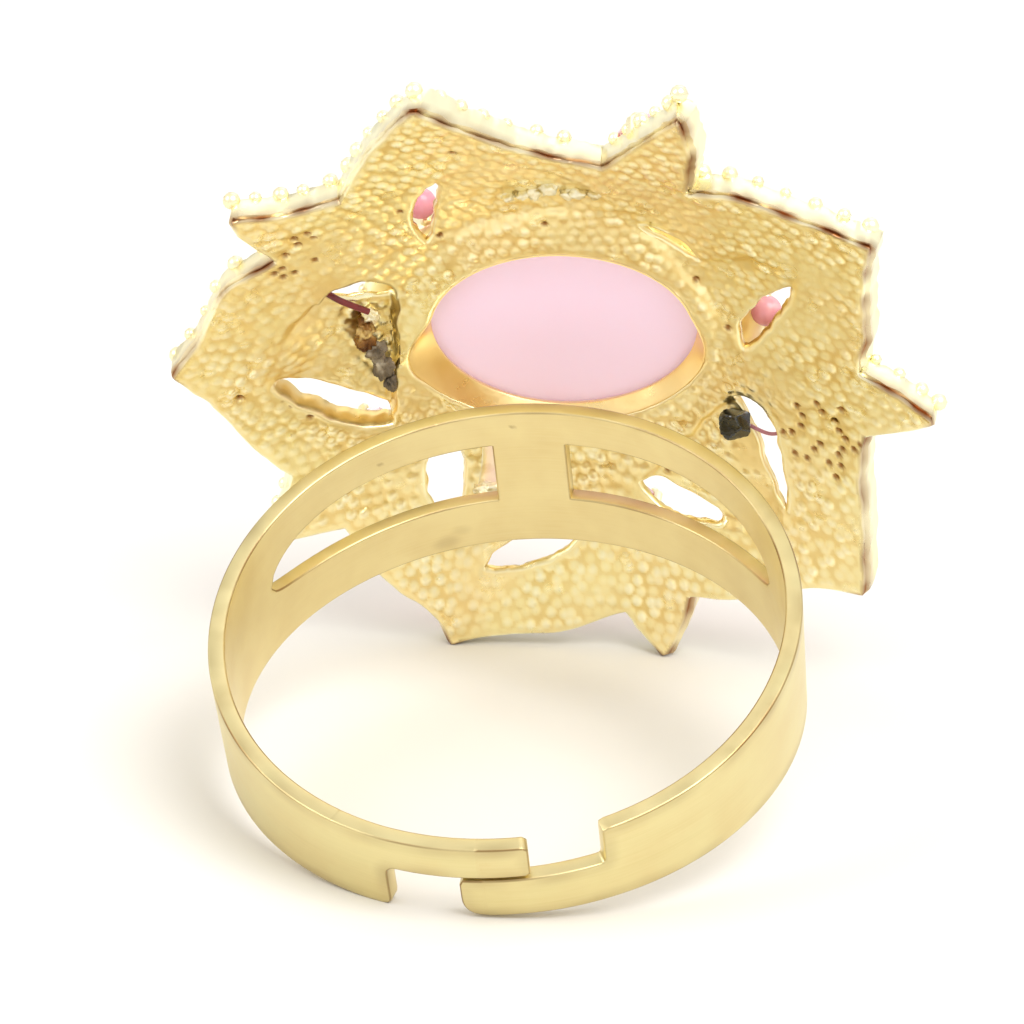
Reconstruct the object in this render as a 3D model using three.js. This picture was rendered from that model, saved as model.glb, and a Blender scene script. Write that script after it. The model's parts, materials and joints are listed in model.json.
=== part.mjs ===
// An adjustable cocktail ring: a split, windowed brass shank that carries a domed
// flower of ten cast petals round an oval pink cabochon.
//
// Working frame: the finger passes along Y, +X is to the wearer's right, and +Z points
// from the finger to the flower. The bore's centre is the origin. The finished ring is
// then laid down on the two petal tips and the shank edge that it really rests on.

import * as THREE from 'three';

// ---------------------------------------------------------------- dimensions, in mm
const GAP = 0.25;                 // clearance between neighbouring pieces

// Shank: one strip of sheet brass, bent round the finger and split opposite the flower.
const BORE_RADIUS = 9.0;
const STRIP_THICKNESS = 0.55;
const CROWN_HALF_WIDTH = 2.9;
const BASE_HALF_WIDTH = 1.42;
const TAPER_REACH = 107;          // degrees from the crown at which the taper is at work
const TAPER_POWER = 2.5;

// Crown: two windows either side of a flat bridge.
const BRIDGE_HALF_ANGLE = 8;      // degrees
const WINDOW_END_ANGLE = 67;
const CROWN_END_ANGLE = 71;
const WINDOW_TOP = 1.5;           // window edges, measured along the finger at the bridge
const WINDOW_BOTTOM = -0.95;

// Split: each arm ends in a half-width tongue that passes beside the other.
const SPLIT_ANGLE = 177.5;        // middle of the split, clockwise from the crown
const TONGUE_LAP_ANGLE = 13.4;    // how far the two tongues pass each other
const TONGUE_SHY_ANGLE = 14;      // free gap between a tongue's tip and the other's step
const SEAM_OFFSET = 0.15;         // the seam's place across the strip
const SEAM_GAP = 0.16;
const TONGUE_CORNER_RADIUS = 0.5;

// Flower: petals on a shallow dome whose open side faces the finger.
const FLOWER_X = 0.8;
const FLOWER_Y = -2.3;
const DOME_TOP = 13.85;           // height of the dome's middle above the bore's axis
const DOME_DROP = 3.85;           // how far the petal tips curl back from there
const DOME_INNER_RADIUS = 5.5;
const DOME_OUTER_RADIUS = 13.0;
const DOME_POWER = 1.1;

// Petals.
const PLATE = 0.7;                // thickness of a petal's plate
const RIM_HEIGHT = 0.9;           // the raised edge that holds the enamel
const RIM_WIDTH = 0.5;
const RIM_SLOPE = 0.06;
const RIM_START = 7.9;            // distance from the flower's middle where the rim begins
const RIM_TIP_LENGTH = 1.3;       // the solid tip of a broad petal's rim
const POINT_BLOCK_START = 11.4;   // the raised tip of a pointed petal, clear of its stone
const BROAD_ANGLES = [40.5, 112.5, 184.5, 254.5, 328];
const BROAD_TIPS = [13.7, 12.5, 13.2, 12.9, 12.5];
const POINTED_ANGLES = [4.5, 76.5, 148.5, 219.5, 292];
const POINTED_TIPS = [13.0, 12.5, 12.8, 13.1, 12.8];
// Half-widths at distances from the flower's middle; the tip follows on from the last.
const BROAD_OUTLINE = [[6.4, 2.2], [7.1, 2.45], [7.9, 3.05], [8.5, 3.85], [9.1, 4.3],
  [9.7, 4.2], [10.3, 3.5], [11.1, 2.25], [11.8, 1.0]];
const POINTED_OUTLINE = [[6.4, 0.8], [7.1, 0.9], [7.9, 1.1], [8.5, 1.25], [9.1, 1.35],
  [10.2, 1.55], [11.0, 1.15], [11.8, 0.7]];
const BROAD_TIP_HALF_WIDTH = 0.12;
const POINTED_TIP_HALF_WIDTH = 0.1;

// Cup: a short collar behind the petals that opens into the bezel round the cabochon.
const COLLAR_HALF_LENGTH = 6.2;
const COLLAR_HALF_HEIGHT = 4.4;
const COLLAR_WALL = 0.55;
const COLLAR_FLARE = 0.75;        // how much the collar narrows towards the stone
const BEZEL_FLANGE = 1.0;         // the bezel stands this far outside the collar
const BEZEL_WALL = 0.45;
const SEAT_HEIGHT = 15.0;         // the ledge that the cabochon sits on
const BEZEL_BACK = 14.75;
const BEZEL_TOP = 15.9;
const CABOCHON_HEIGHT = 4.2;
const OVAL_SEGMENTS = 40;

// The post that joins the crown's bridge to the collar.
const POST_WIDTH = 3.0;
const POST_DEPTH = 0.9;
const POST_X = -0.25;

// Drop stones, one in front of each pointed petal.
const DROP_START = 7.7;
const DROP_LENGTH = 3.4;
const DROP_HALF_WIDTH = 1.25;
const DROP_HEIGHT = 1.3;

// Stamens: bent wires that come up between the petals, each with a bead on its end.
// Each place is [distance from the flower's middle, height above the bore's axis].
const STAMEN_RADIUS = 0.16;
const STAMEN_BEAD_RADIUS = 0.42;
const LEFT_STAMEN_ANGLE = 208.8;
const LEFT_STAMEN_COURSE = [[6.95, 13.4], [7.45, 14.3], [7.95, 15.5], [8.3, 16.8]];
const RIGHT_STAMEN_ANGLE = 15.9;
const RIGHT_STAMEN_COURSE = [[7.1, 13.3], [7.75, 14.3], [8.1, 15.5], [8.3, 16.8]];

// ---------------------------------------------------------------- materials
const brass = new THREE.MeshStandardMaterial({ color: 0xe6c878, metalness: 1, roughness: 0.38 });
const satinBrass = new THREE.MeshStandardMaterial({ color: 0xeed796, metalness: 1, roughness: 0.3 });
const stone = new THREE.MeshStandardMaterial({ color: 0xf7c9da, metalness: 0, roughness: 0.2 });
const enamel = new THREE.MeshStandardMaterial({ color: 0xe78fb0, metalness: 0, roughness: 0.15 });
const redWire = new THREE.MeshStandardMaterial({ color: 0x7c2330, metalness: 0.2, roughness: 0.4 });

// ---------------------------------------------------------------- helpers
const radians = THREE.MathUtils.degToRad;

function mix(a, b, t) {
  return a + (b - a) * t;
}

// Straight-line interpolation in a list of [position, value] pairs.
function interpolate(pairs, position) {
  let k = 0;
  while (k < pairs.length - 2 && position > pairs[k + 1][0]) k += 1;
  const [a, valueA] = pairs[k];
  const [b, valueB] = pairs[k + 1];
  return mix(valueA, valueB, THREE.MathUtils.clamp((position - a) / (b - a), 0, 1));
}

// A closed geometry from points and triangles, turned so that its faces point out.
function closedGeometry(points, triangles) {
  let volume = 0;
  for (const [a, b, c] of triangles) {
    volume += points[a].dot(new THREE.Vector3().crossVectors(points[b], points[c]));
  }
  const outward = volume > 0 ? triangles : triangles.map(([a, b, c]) => [a, c, b]);
  const geometry = new THREE.BufferGeometry();
  geometry.setAttribute('position',
    new THREE.Float32BufferAttribute(points.flatMap((p) => [p.x, p.y, p.z]), 3));
  geometry.setIndex(outward.flat());
  geometry.computeVertexNormals();
  return geometry;
}

// A plate of two matching grids, back (0) and front (1), walled round every edge.
// keep(i, j) leaves cells out, which makes windows and notches.
function plateGeometry(columns, rows, pointAt, keep = () => true) {
  const points = [];
  const indexOf = new Map();
  const corner = (i, j, side) => {
    const key = `${i},${j},${side}`;
    if (!indexOf.has(key)) {
      indexOf.set(key, points.length);
      points.push(pointAt(i, j, side));
    }
    return indexOf.get(key);
  };
  const inside = (i, j) => i >= 0 && j >= 0 && i < columns && j < rows && keep(i, j);
  const triangles = [];
  const quad = (a, b, c, d) => triangles.push([a, b, c], [a, c, d]);
  const wall = (i0, j0, i1, j1) => {
    quad(corner(i0, j0, 0), corner(i1, j1, 0), corner(i1, j1, 1), corner(i0, j0, 1));
  };
  for (let i = 0; i < columns; i += 1) {
    for (let j = 0; j < rows; j += 1) {
      if (!inside(i, j)) continue;
      quad(corner(i, j, 0), corner(i, j + 1, 0), corner(i + 1, j + 1, 0), corner(i + 1, j, 0));
      quad(corner(i, j, 1), corner(i + 1, j, 1), corner(i + 1, j + 1, 1), corner(i, j + 1, 1));
      if (!inside(i, j - 1)) wall(i, j, i + 1, j);
      if (!inside(i + 1, j)) wall(i + 1, j, i + 1, j + 1);
      if (!inside(i, j + 1)) wall(i + 1, j + 1, i, j + 1);
      if (!inside(i - 1, j)) wall(i, j + 1, i, j);
    }
  }
  return closedGeometry(points, triangles);
}

// A closed profile of [offset, height] points carried round an oval; offset is measured
// outward along the oval's normal.
function ovalRingGeometry(halfLength, halfHeight, profile) {
  const points = [];
  const triangles = [];
  const count = profile.length;
  for (let k = 0; k < OVAL_SEGMENTS; k += 1) {
    const angle = (2 * Math.PI * k) / OVAL_SEGMENTS;
    const normal = new THREE.Vector2(Math.cos(angle) * halfHeight, Math.sin(angle) * halfLength);
    normal.normalize();
    for (const [offset, height] of profile) {
      const x = halfLength * Math.cos(angle) + offset * normal.x;
      const y = halfHeight * Math.sin(angle) + offset * normal.y;
      points.push(new THREE.Vector3(x, y, height));
    }
    const next = (k + 1) % OVAL_SEGMENTS;
    for (let j = 0; j < count; j += 1) {
      const a = k * count + j;
      const b = next * count + j;
      const c = next * count + ((j + 1) % count);
      const d = k * count + ((j + 1) % count);
      triangles.push([a, b, c], [a, c, d]);
    }
  }
  return closedGeometry(points, triangles);
}

// ---------------------------------------------------------------- shank
// Half the strip's width at an angle from the crown, in degrees.
function stripHalfWidth(angle) {
  const fade = Math.exp(-((Math.abs(angle) / TAPER_REACH) ** TAPER_POWER));
  return BASE_HALF_WIDTH + (CROWN_HALF_WIDTH - BASE_HALF_WIDTH) * fade;
}

// A point of the strip: angle clockwise from the crown, place along the finger, and
// side 0 on the bore or 1 on the outside.
function stripPoint(angle, along, side) {
  const radius = BORE_RADIUS + side * STRIP_THICKNESS;
  const turn = radians(angle);
  return new THREE.Vector3(radius * Math.sin(turn), -along, radius * Math.cos(turn));
}

// The window's two edges at an angle from the crown: they close to a point at its end.
function windowEdges(angle) {
  const along = Math.abs(angle) / WINDOW_END_ANGLE;
  const closing = Math.sqrt(Math.max(0, 1 - along ** 4));
  const middle = 0.1;
  const blunt = 0.12;
  const half = Math.max(blunt, closing);
  return [mix(middle, WINDOW_BOTTOM, half), mix(middle, WINDOW_TOP, half)];
}

function shankCrown() {
  const steps = 14;
  const angles = [-CROWN_END_ANGLE];
  for (let k = steps; k >= 0; k -= 1) {
    angles.push(-mix(BRIDGE_HALF_ANGLE, WINDOW_END_ANGLE, k / steps));
  }
  angles.push(...angles.map((angle) => -angle).reverse());
  const bridge = steps + 1;
  const geometry = plateGeometry(angles.length - 1, 3, (i, j, side) => {
    const half = stripHalfWidth(angles[i]);
    const [bottom, top] = windowEdges(angles[i]);
    return stripPoint(angles[i], [-half, bottom, top, half][j], side);
  }, (i, j) => j !== 1 || i === 0 || i === bridge || i === angles.length - 2);
  return new THREE.Mesh(geometry, satinBrass);
}

// One arm. hand is +1 for the right arm and -1 for the left; the right arm's tongue
// is the lower half of the strip and the left arm's is the upper half.
function shankArm(hand) {
  const gapAngle = THREE.MathUtils.radToDeg(GAP / BORE_RADIUS);
  const middle = hand > 0 ? SPLIT_ANGLE : 360 - SPLIT_ANGLE;
  const tip = middle + TONGUE_LAP_ANGLE / 2;
  const step = middle - TONGUE_LAP_ANGLE / 2 - TONGUE_SHY_ANGLE;
  const start = CROWN_END_ANGLE + gapAngle;
  const corner = THREE.MathUtils.radToDeg(TONGUE_CORNER_RADIUS / BORE_RADIUS);
  const bodySteps = 15;
  const tongueSteps = 3;
  const cornerSteps = 3;
  const angles = [];
  for (let k = 0; k < bodySteps; k += 1) angles.push(mix(start, step - corner, k / bodySteps));
  for (let k = 0; k < cornerSteps; k += 1) angles.push(mix(step - corner, step, k / cornerSteps));
  for (let k = 0; k < tongueSteps; k += 1) angles.push(mix(step, tip - corner, k / tongueSteps));
  for (let k = 0; k <= cornerSteps; k += 1) angles.push(mix(tip - corner, tip, k / cornerSteps));
  const stepColumn = bodySteps + cornerSteps;
  // How far a rounded corner draws the edge in, close before an end.
  const drawIn = (angle, end) => {
    const into = THREE.MathUtils.clamp((angle - (end - corner)) / corner, 0, 1);
    return TONGUE_CORNER_RADIUS * (1 - Math.sqrt(1 - into ** 2));
  };
  const seam = SEAM_OFFSET + hand * -SEAM_GAP / 2;
  const geometry = plateGeometry(angles.length - 1, 2, (i, j, side) => {
    const half = stripHalfWidth(angles[i]);
    const tongueEdge = half - drawIn(angles[i], tip);
    const stepEdge = i > stepColumn ? half : half - drawIn(angles[i], step);
    const upper = hand > 0 ? stepEdge : tongueEdge;
    const lower = hand > 0 ? tongueEdge : stepEdge;
    return stripPoint(hand * angles[i], [-lower, seam, upper][j], side);
  }, (i, j) => i < stepColumn || j === (hand > 0 ? 0 : 1));
  return new THREE.Mesh(geometry, satinBrass);
}

// ---------------------------------------------------------------- flower
// Height of the petals' back at a distance from the flower's middle.
function domeHeight(distance) {
  const reach = (distance - DOME_INNER_RADIUS) / (DOME_OUTER_RADIUS - DOME_INNER_RADIUS);
  return DOME_TOP - DOME_DROP * Math.max(0, reach) ** DOME_POWER;
}

// A point on a petal: u along its axis, v across it, lift above the back of the dome.
function petalPoint(axisAngle, u, v, lift) {
  const turn = radians(axisAngle);
  const x = u * Math.cos(turn) - v * Math.sin(turn);
  const y = u * Math.sin(turn) + v * Math.cos(turn);
  return new THREE.Vector3(x, y, domeHeight(Math.hypot(u, v)) + lift);
}

// Where a petal's root meets the collar, measured along the petal's axis.
function rootDistance(axisAngle) {
  const turn = radians(axisAngle);
  const length = COLLAR_HALF_LENGTH + GAP;
  const height = COLLAR_HALF_HEIGHT + GAP;
  return 1 / Math.hypot(Math.cos(turn) / length, Math.sin(turn) / height);
}

// The petal's whole outline, from its root to its tip.
function petalOutline(shape, tip, tipHalfWidth) {
  return [...shape, [tip, tipHalfWidth]];
}

// A cast petal: a plate whose sides (from sideStart) and tip (from tipStart) are raised.
function petal(axisAngle, shape, tip, tipHalfWidth, sideStart, tipStart) {
  const outline = petalOutline(shape, tip, tipHalfWidth);
  const inner = shape.map(([u]) => u).filter((u) => Math.abs(u - sideStart) > 0.2);
  const steps = [sideStart, sideStart + RIM_SLOPE, tipStart, tipStart + RIM_SLOPE, tip];
  const kept = inner.filter((u) => u > shape[0][0] && Math.abs(u - tipStart) > 0.2);
  const stations = [shape[0][0], ...kept, ...steps.filter((u) => u <= tip)];
  stations.sort((a, b) => a - b);
  const across = [-1, -1, -1, 0, 1, 1, 1];
  const inset = [0, RIM_WIDTH, RIM_WIDTH + RIM_SLOPE, 0, RIM_WIDTH + RIM_SLOPE, RIM_WIDTH, 0];
  const geometry = plateGeometry(stations.length - 1, 6, (i, j, side) => {
    const half = interpolate(outline, stations[i]);
    const share = Math.min(inset[j], half * 0.55 + inset[j] * 0.1);
    const v = across[j] * (half - share);
    // The root follows the oval collar, so each line of the grid starts where it meets it.
    const lean = THREE.MathUtils.radToDeg(Math.atan2(v, shape[0][0]));
    const u = i === 0 ? rootDistance(axisAngle + lean) * Math.cos(radians(lean)) : stations[i];
    const nearSide = j < 2 || j > 4;
    const raised = (nearSide && u > sideStart) || u > tipStart;
    return petalPoint(axisAngle, u, v, side * (PLATE + (raised ? RIM_HEIGHT : 0)));
  });
  return new THREE.Mesh(geometry, brass);
}

// The enamel that fills a broad petal's tray, slightly crowned.
function petalEnamel(axisAngle, shape, tip, tipHalfWidth) {
  const outline = petalOutline(shape, tip, tipHalfWidth);
  const start = RIM_START + RIM_SLOPE + GAP;
  const end = tip - RIM_TIP_LENGTH - GAP;
  const inner = shape.map(([u]) => u).filter((u) => u > start + 0.2 && u < end - 0.2);
  const stations = [start, ...inner, end];
  const columns = stations.length - 1;
  const shares = [-1, -0.6, 0, 0.6, 1];
  const bed = PLATE + 0.15;
  const crown = 0.75;
  const geometry = plateGeometry(columns, shares.length - 1, (i, j, side) => {
    const half = interpolate(outline, stations[i]) - RIM_WIDTH - RIM_SLOPE - GAP;
    const edge = i === 0 || i === columns || Math.abs(shares[j]) === 1;
    const top = edge ? bed + 0.4 : bed + crown - 0.2 * Math.abs(shares[j]);
    return petalPoint(axisAngle, stations[i], shares[j] * half, side ? top : bed);
  });
  return new THREE.Mesh(geometry, enamel);
}

// A pear-shaped stone whose flat back lies in front of a pointed petal.
function dropStone(axisAngle) {
  const columns = 8;
  const shares = [-1, -0.6, 0, 0.6, 1];
  const bed = PLATE + GAP;
  const geometry = plateGeometry(columns, shares.length - 1, (i, j, side) => {
    const t = mix(0.03, 0.97, i / columns);
    const half = DROP_HALF_WIDTH * Math.sin(Math.PI * t ** 0.7) ** 0.7;
    const dome = Math.sqrt(Math.max(0, (1 - shares[j] ** 2) * Math.sin(Math.PI * t)));
    const lift = side ? bed + 0.35 + (DROP_HEIGHT - 0.35) * dome : bed;
    return petalPoint(axisAngle, DROP_START + DROP_LENGTH * t, shares[j] * half, lift);
  });
  return new THREE.Mesh(geometry, enamel);
}

// The collar, the ledge and the bezel are one turned-up wall round the stone.
function stoneCup() {
  const ledge = -COLLAR_WALL - COLLAR_FLARE;
  const profile = [
    [-COLLAR_WALL, DOME_TOP],
    [0, DOME_TOP],
    [0, BEZEL_BACK],
    [BEZEL_FLANGE, BEZEL_BACK],
    [BEZEL_FLANGE, BEZEL_TOP],
    [BEZEL_FLANGE - BEZEL_WALL, BEZEL_TOP],
    [BEZEL_FLANGE - BEZEL_WALL, SEAT_HEIGHT],
    [ledge, SEAT_HEIGHT],
    [ledge, SEAT_HEIGHT - 0.25],
  ];
  return new THREE.Mesh(ovalRingGeometry(COLLAR_HALF_LENGTH, COLLAR_HALF_HEIGHT, profile), brass);
}

// The cabochon: a flat back, a short upright girdle and a low dome.
function cabochon() {
  const reach = BEZEL_FLANGE - BEZEL_WALL - GAP;
  const girdle = 0.6;
  const rings = 7;
  const profile = [new THREE.Vector2(0, 0), new THREE.Vector2(1, 0)];
  for (let k = 0; k < rings; k += 1) {
    const turn = (Math.PI / 2) * (k / rings);
    const height = girdle + (CABOCHON_HEIGHT - girdle) * Math.sin(turn);
    profile.push(new THREE.Vector2(Math.cos(turn), height));
  }
  profile.push(new THREE.Vector2(0, CABOCHON_HEIGHT));
  const geometry = new THREE.LatheGeometry(profile, OVAL_SEGMENTS);
  geometry.rotateX(Math.PI / 2);
  geometry.scale(COLLAR_HALF_LENGTH + reach, COLLAR_HALF_HEIGHT + reach, 1);
  const mesh = new THREE.Mesh(geometry, stone);
  mesh.position.z = SEAT_HEIGHT + GAP;
  return mesh;
}

// The post stands on the outside of the crown's bridge and reaches the collar's near edge.
function mountPost() {
  const foot = BORE_RADIUS + STRIP_THICKNESS + GAP;
  const height = DOME_TOP - GAP - foot;
  const mesh = new THREE.Mesh(new THREE.BoxGeometry(POST_WIDTH, POST_DEPTH, height), brass);
  const collarEdge = -FLOWER_Y - COLLAR_HALF_HEIGHT + COLLAR_WALL / 2;
  mesh.position.set(POST_X, -collarEdge, foot + height / 2);
  return mesh;
}

// The points of a stamen's course, which lies in one upright plane.
function stamenPoints(angle, course) {
  const turn = radians(angle);
  return course.map(([distance, height]) => (
    new THREE.Vector3(distance * Math.cos(turn), distance * Math.sin(turn), height)));
}

function stamenWire(points) {
  const outline = new THREE.Shape();
  outline.absarc(0, 0, STAMEN_RADIUS, 0, 2 * Math.PI);
  const geometry = new THREE.ExtrudeGeometry(outline, {
    extrudePath: new THREE.CatmullRomCurve3(points),
    steps: 8,
    curveSegments: 4,
    bevelEnabled: false,
  });
  return new THREE.Mesh(geometry, redWire);
}

function stamenBead(points) {
  const mesh = new THREE.Mesh(new THREE.SphereGeometry(STAMEN_BEAD_RADIUS, 10, 7), enamel);
  const [before, tip] = points.slice(-2);
  const heading = tip.clone().sub(before).normalize();
  mesh.position.copy(tip).addScaledVector(heading, STAMEN_BEAD_RADIUS + GAP / 2);
  return mesh;
}

// ---------------------------------------------------------------- assembly
const ring = new THREE.Group();
const flower = new THREE.Group();
flower.position.set(FLOWER_X, FLOWER_Y, 0);
ring.add(flower);

function add(parent, name, mesh) {
  mesh.name = name;
  parent.add(mesh);
}

add(ring, 'shank_crown', shankCrown());
add(ring, 'shank_arm_left', shankArm(-1));
add(ring, 'shank_arm_right', shankArm(1));
add(ring, 'mount_post', mountPost());
add(flower, 'stone_cup', stoneCup());
add(flower, 'cabochon', cabochon());
for (let k = 0; k < BROAD_ANGLES.length; k += 1) {
  const angle = BROAD_ANGLES[k];
  const tip = BROAD_TIPS[k];
  add(flower, `broad_petal_${k + 1}`, petal(angle, BROAD_OUTLINE, tip, BROAD_TIP_HALF_WIDTH,
    RIM_START, tip - RIM_TIP_LENGTH));
  add(flower, `enamel_${k + 1}`, petalEnamel(angle, BROAD_OUTLINE, tip, BROAD_TIP_HALF_WIDTH));
}
for (let k = 0; k < POINTED_ANGLES.length; k += 1) {
  const angle = POINTED_ANGLES[k];
  const tip = POINTED_TIPS[k];
  add(flower, `pointed_petal_${k + 1}`, petal(angle, POINTED_OUTLINE, tip, POINTED_TIP_HALF_WIDTH,
    Infinity, POINT_BLOCK_START));
  add(flower, `drop_stone_${k + 1}`, dropStone(angle));
}
const stamens = [
  ['left', stamenPoints(LEFT_STAMEN_ANGLE, LEFT_STAMEN_COURSE)],
  ['right', stamenPoints(RIGHT_STAMEN_ANGLE, RIGHT_STAMEN_COURSE)],
];
for (const [hand, points] of stamens) {
  add(flower, `stamen_${hand}`, stamenWire(points));
  add(flower, `stamen_bead_${hand}`, stamenBead(points));
}

// ---------------------------------------------------------------- resting place
// The ring lies on the tips of a broad and a pointed petal and on the lower edge of the
// shank. Of all the points on that edge, the one it rests on is the one that leaves the
// others above the table.
const BROAD_FOOT = 1;
const POINTED_FOOT = 1;

function tipPoint(angle, tip) {
  return petalPoint(angle, tip, 0, 0).add(flower.position);
}

const feet = [
  tipPoint(BROAD_ANGLES[BROAD_FOOT], BROAD_TIPS[BROAD_FOOT]),
  tipPoint(POINTED_ANGLES[POINTED_FOOT], POINTED_TIPS[POINTED_FOOT]),
];

// The table's upward normal when the shank rests at an angle of its lower edge.
function tableNormal(angle) {
  const edge = stripPoint(angle, -stripHalfWidth(angle), 1);
  const alongFeet = feet[1].clone().sub(feet[0]);
  const normal = edge.sub(feet[0]).cross(alongFeet).normalize();
  return normal.y < 0 ? normal : normal.negate();
}

let normal = tableNormal(180);
for (let angle = 150; angle <= 185; angle += 0.5) {
  const candidate = tableNormal(angle);
  if (candidate.z < normal.z) normal = candidate;
}

const across = new THREE.Vector3(1, 0, 0).addScaledVector(normal, -normal.x).normalize();
const away = normal.clone().cross(across);
const turn = new THREE.Matrix4().makeBasis(across, away, normal).transpose();
ring.quaternion.setFromRotationMatrix(turn);

const group = new THREE.Group();
group.add(ring);
group.updateMatrixWorld(true);
const box = new THREE.Box3().setFromObject(group, true);
const centre = box.getCenter(new THREE.Vector3());
ring.position.set(-centre.x, -centre.y, -box.min.z);

export default group;
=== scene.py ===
"""The looks of an adjustable cocktail ring: a satin brass shank and a cast flower with pink stones."""

import json
import math
import random

import bmesh
import bpy
import numpy as np
from mathutils import Matrix, Vector, kdtree, noise


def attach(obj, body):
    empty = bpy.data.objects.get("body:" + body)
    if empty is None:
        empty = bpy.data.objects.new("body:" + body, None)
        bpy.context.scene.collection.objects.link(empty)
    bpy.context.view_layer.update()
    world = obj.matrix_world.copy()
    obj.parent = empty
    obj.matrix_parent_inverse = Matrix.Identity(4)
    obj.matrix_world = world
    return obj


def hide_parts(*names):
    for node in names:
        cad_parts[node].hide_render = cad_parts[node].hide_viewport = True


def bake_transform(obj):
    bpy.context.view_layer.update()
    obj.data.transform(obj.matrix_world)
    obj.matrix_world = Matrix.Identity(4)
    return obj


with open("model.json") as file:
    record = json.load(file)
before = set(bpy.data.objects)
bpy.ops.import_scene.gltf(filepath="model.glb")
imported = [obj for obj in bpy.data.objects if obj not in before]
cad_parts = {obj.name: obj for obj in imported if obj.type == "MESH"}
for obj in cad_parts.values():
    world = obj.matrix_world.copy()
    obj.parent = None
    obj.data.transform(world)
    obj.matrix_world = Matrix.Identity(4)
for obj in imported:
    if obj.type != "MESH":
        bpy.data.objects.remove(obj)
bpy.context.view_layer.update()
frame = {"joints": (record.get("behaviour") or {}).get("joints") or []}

MM = 0.001
SEED = 7

# ------------------------------------------------------------------ sizes, in mm and degrees
BORE_RADIUS = 9.0
SHEET = 0.55                    # thickness of the shank's strip
EDGE_ROUND = 0.07               # radius of the strip's rolled edges
CROWN_HALF_WIDTH = 2.9
BASE_HALF_WIDTH = 1.42
TAPER_REACH = 107
TAPER_POWER = 2.5
BRIDGE_HALF_ANGLE = 8
WINDOW_END_ANGLE = 67
WINDOW_TOP = 1.5
WINDOW_BOTTOM = -0.95
WINDOW_MIDDLE = 0.1
HINGE_ANGLE = 71.8
JOIN_ANGLE = 55                 # where the crown's mesh meets the arms' meshes, in the windows
BEND_START_ANGLE = 60
BEND_END_ANGLE = 84
SPLIT_ANGLE = 177.5
TONGUE_LAP_ANGLE = 13.4
TONGUE_SHY_ANGLE = 14
SEAM_OFFSET = 0.15
SEAM_GAP = 0.12
SKEW = 0.12                     # the strip's turn about the line of sight, as the rise of one side

FLOWER_X = 0.8
FLOWER_Y = -2.3
DOME_TOP = 13.85
DOME_DROP = 3.85
DOME_INNER_RADIUS = 5.5
DOME_OUTER_RADIUS = 13.0
DOME_POWER = 1.1
PLATE = 0.8                     # thickness of the cast petals
WALL_HEIGHT = 1.15              # from the petals' back to the top of the wall round them
WALL_WIDTH = 0.22
CAST_ROUND = 0.16               # how far the casting's edges are rounded
FLARE = 0.28                    # the wall leans out this much more on the flower's right

# Ovals round the stone: (reach left, reach right, height) of the upper and of the lower half,
# as seen from the finger. The mouth is the collar's edge in the petals' back, the ledge holds
# the stone, and the bezel is measured on its inside.
MOUTH = ((4.6, 4.6, 3.45), (5.9, 5.2, 4.0))
LEDGE = ((4.63, 4.7, 3.4), (4.63, 4.7, 3.6))
STONE = ((6.5, 6.5, 4.7), (6.5, 6.5, 4.7))
BEZEL = ((6.72, 6.72, 4.92), (6.72, 6.72, 4.92))
LEDGE_BACK = 14.42
SEAT_HEIGHT = 14.66
BEZEL_TOP = 15.9
STONE_TOP = 19.4
STONE_CLAWS = 8
BORDER_GRAINS = 56
CUP_LOWER_EDGE = 4.15           # from the flower's middle to the middle of the post

FINE = 0.075     # spacing of the casting's mesh
PEBBLE_PITCH = 0.43
PEBBLE_HEIGHT = 0.1

CAMERA_PLACE = (0.01073, -0.107972, 0.049172)     # in m
CAMERA_FORWARD = (-0.09882, 0.9317, -0.34952)
CAMERA_RIGHT = (0.99313, 0.11447, 0.02434)
CAMERA_LENS = 123.05                              # for a sensor 36 mm wide

# The flower's outline, seen from the finger: (angle, distance from the flower's middle).
# Each petal starts in the valley before it, rises to its tip and falls to the next valley.
OUTLINE = [
    ("pointed_petal_1", (-0.4, 10.4), [(1.2, 11.5)], (4.3, 13.15), [(8.6, 12.1)]),
    ("broad_petal_1", (14, 10.9), [(22, 11.2), (30, 12.1)], (40, 13.65), [(46.5, 12.4), (57, 11.8)]),
    ("pointed_petal_2", (68, 11.0), [(72, 12.0)], (75.8, 12.7), [(79.2, 11.7)]),
    ("broad_petal_2", (81.3, 11.05), [(93.6, 11.6), (104, 11.95)], (112, 12.6),
     [(117, 11.85), (128, 11.4)]),
    ("pointed_petal_3", (140, 10.7), [(145, 11.8)], (148.5, 12.7), [(152, 11.7)]),
    ("broad_petal_3", (156.5, 10.75), [(165, 11.25), (176, 11.85)], (186.5, 13.15),
     [(193, 12.3), (203, 11.8)]),
    ("pointed_petal_4", (210, 10.6), [(214.5, 12.0)], (218.6, 13.05), [(221.5, 11.5)]),
    ("broad_petal_4", (229, 10.2), [(239, 11.1), (248, 12.1)], (254, 12.85), [(260.5, 10.4), (271, 8.9)]),
    ("pointed_petal_5", (283.9, 8.45), [(289.5, 10.6)], (292.7, 12.95), [(298.5, 10.8)]),
    ("broad_petal_5", (304.5, 8.65), [(312, 9.9), (322, 11.1)], (329.6, 12.7), [(337, 11.6), (350, 10.8)]),
]

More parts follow.
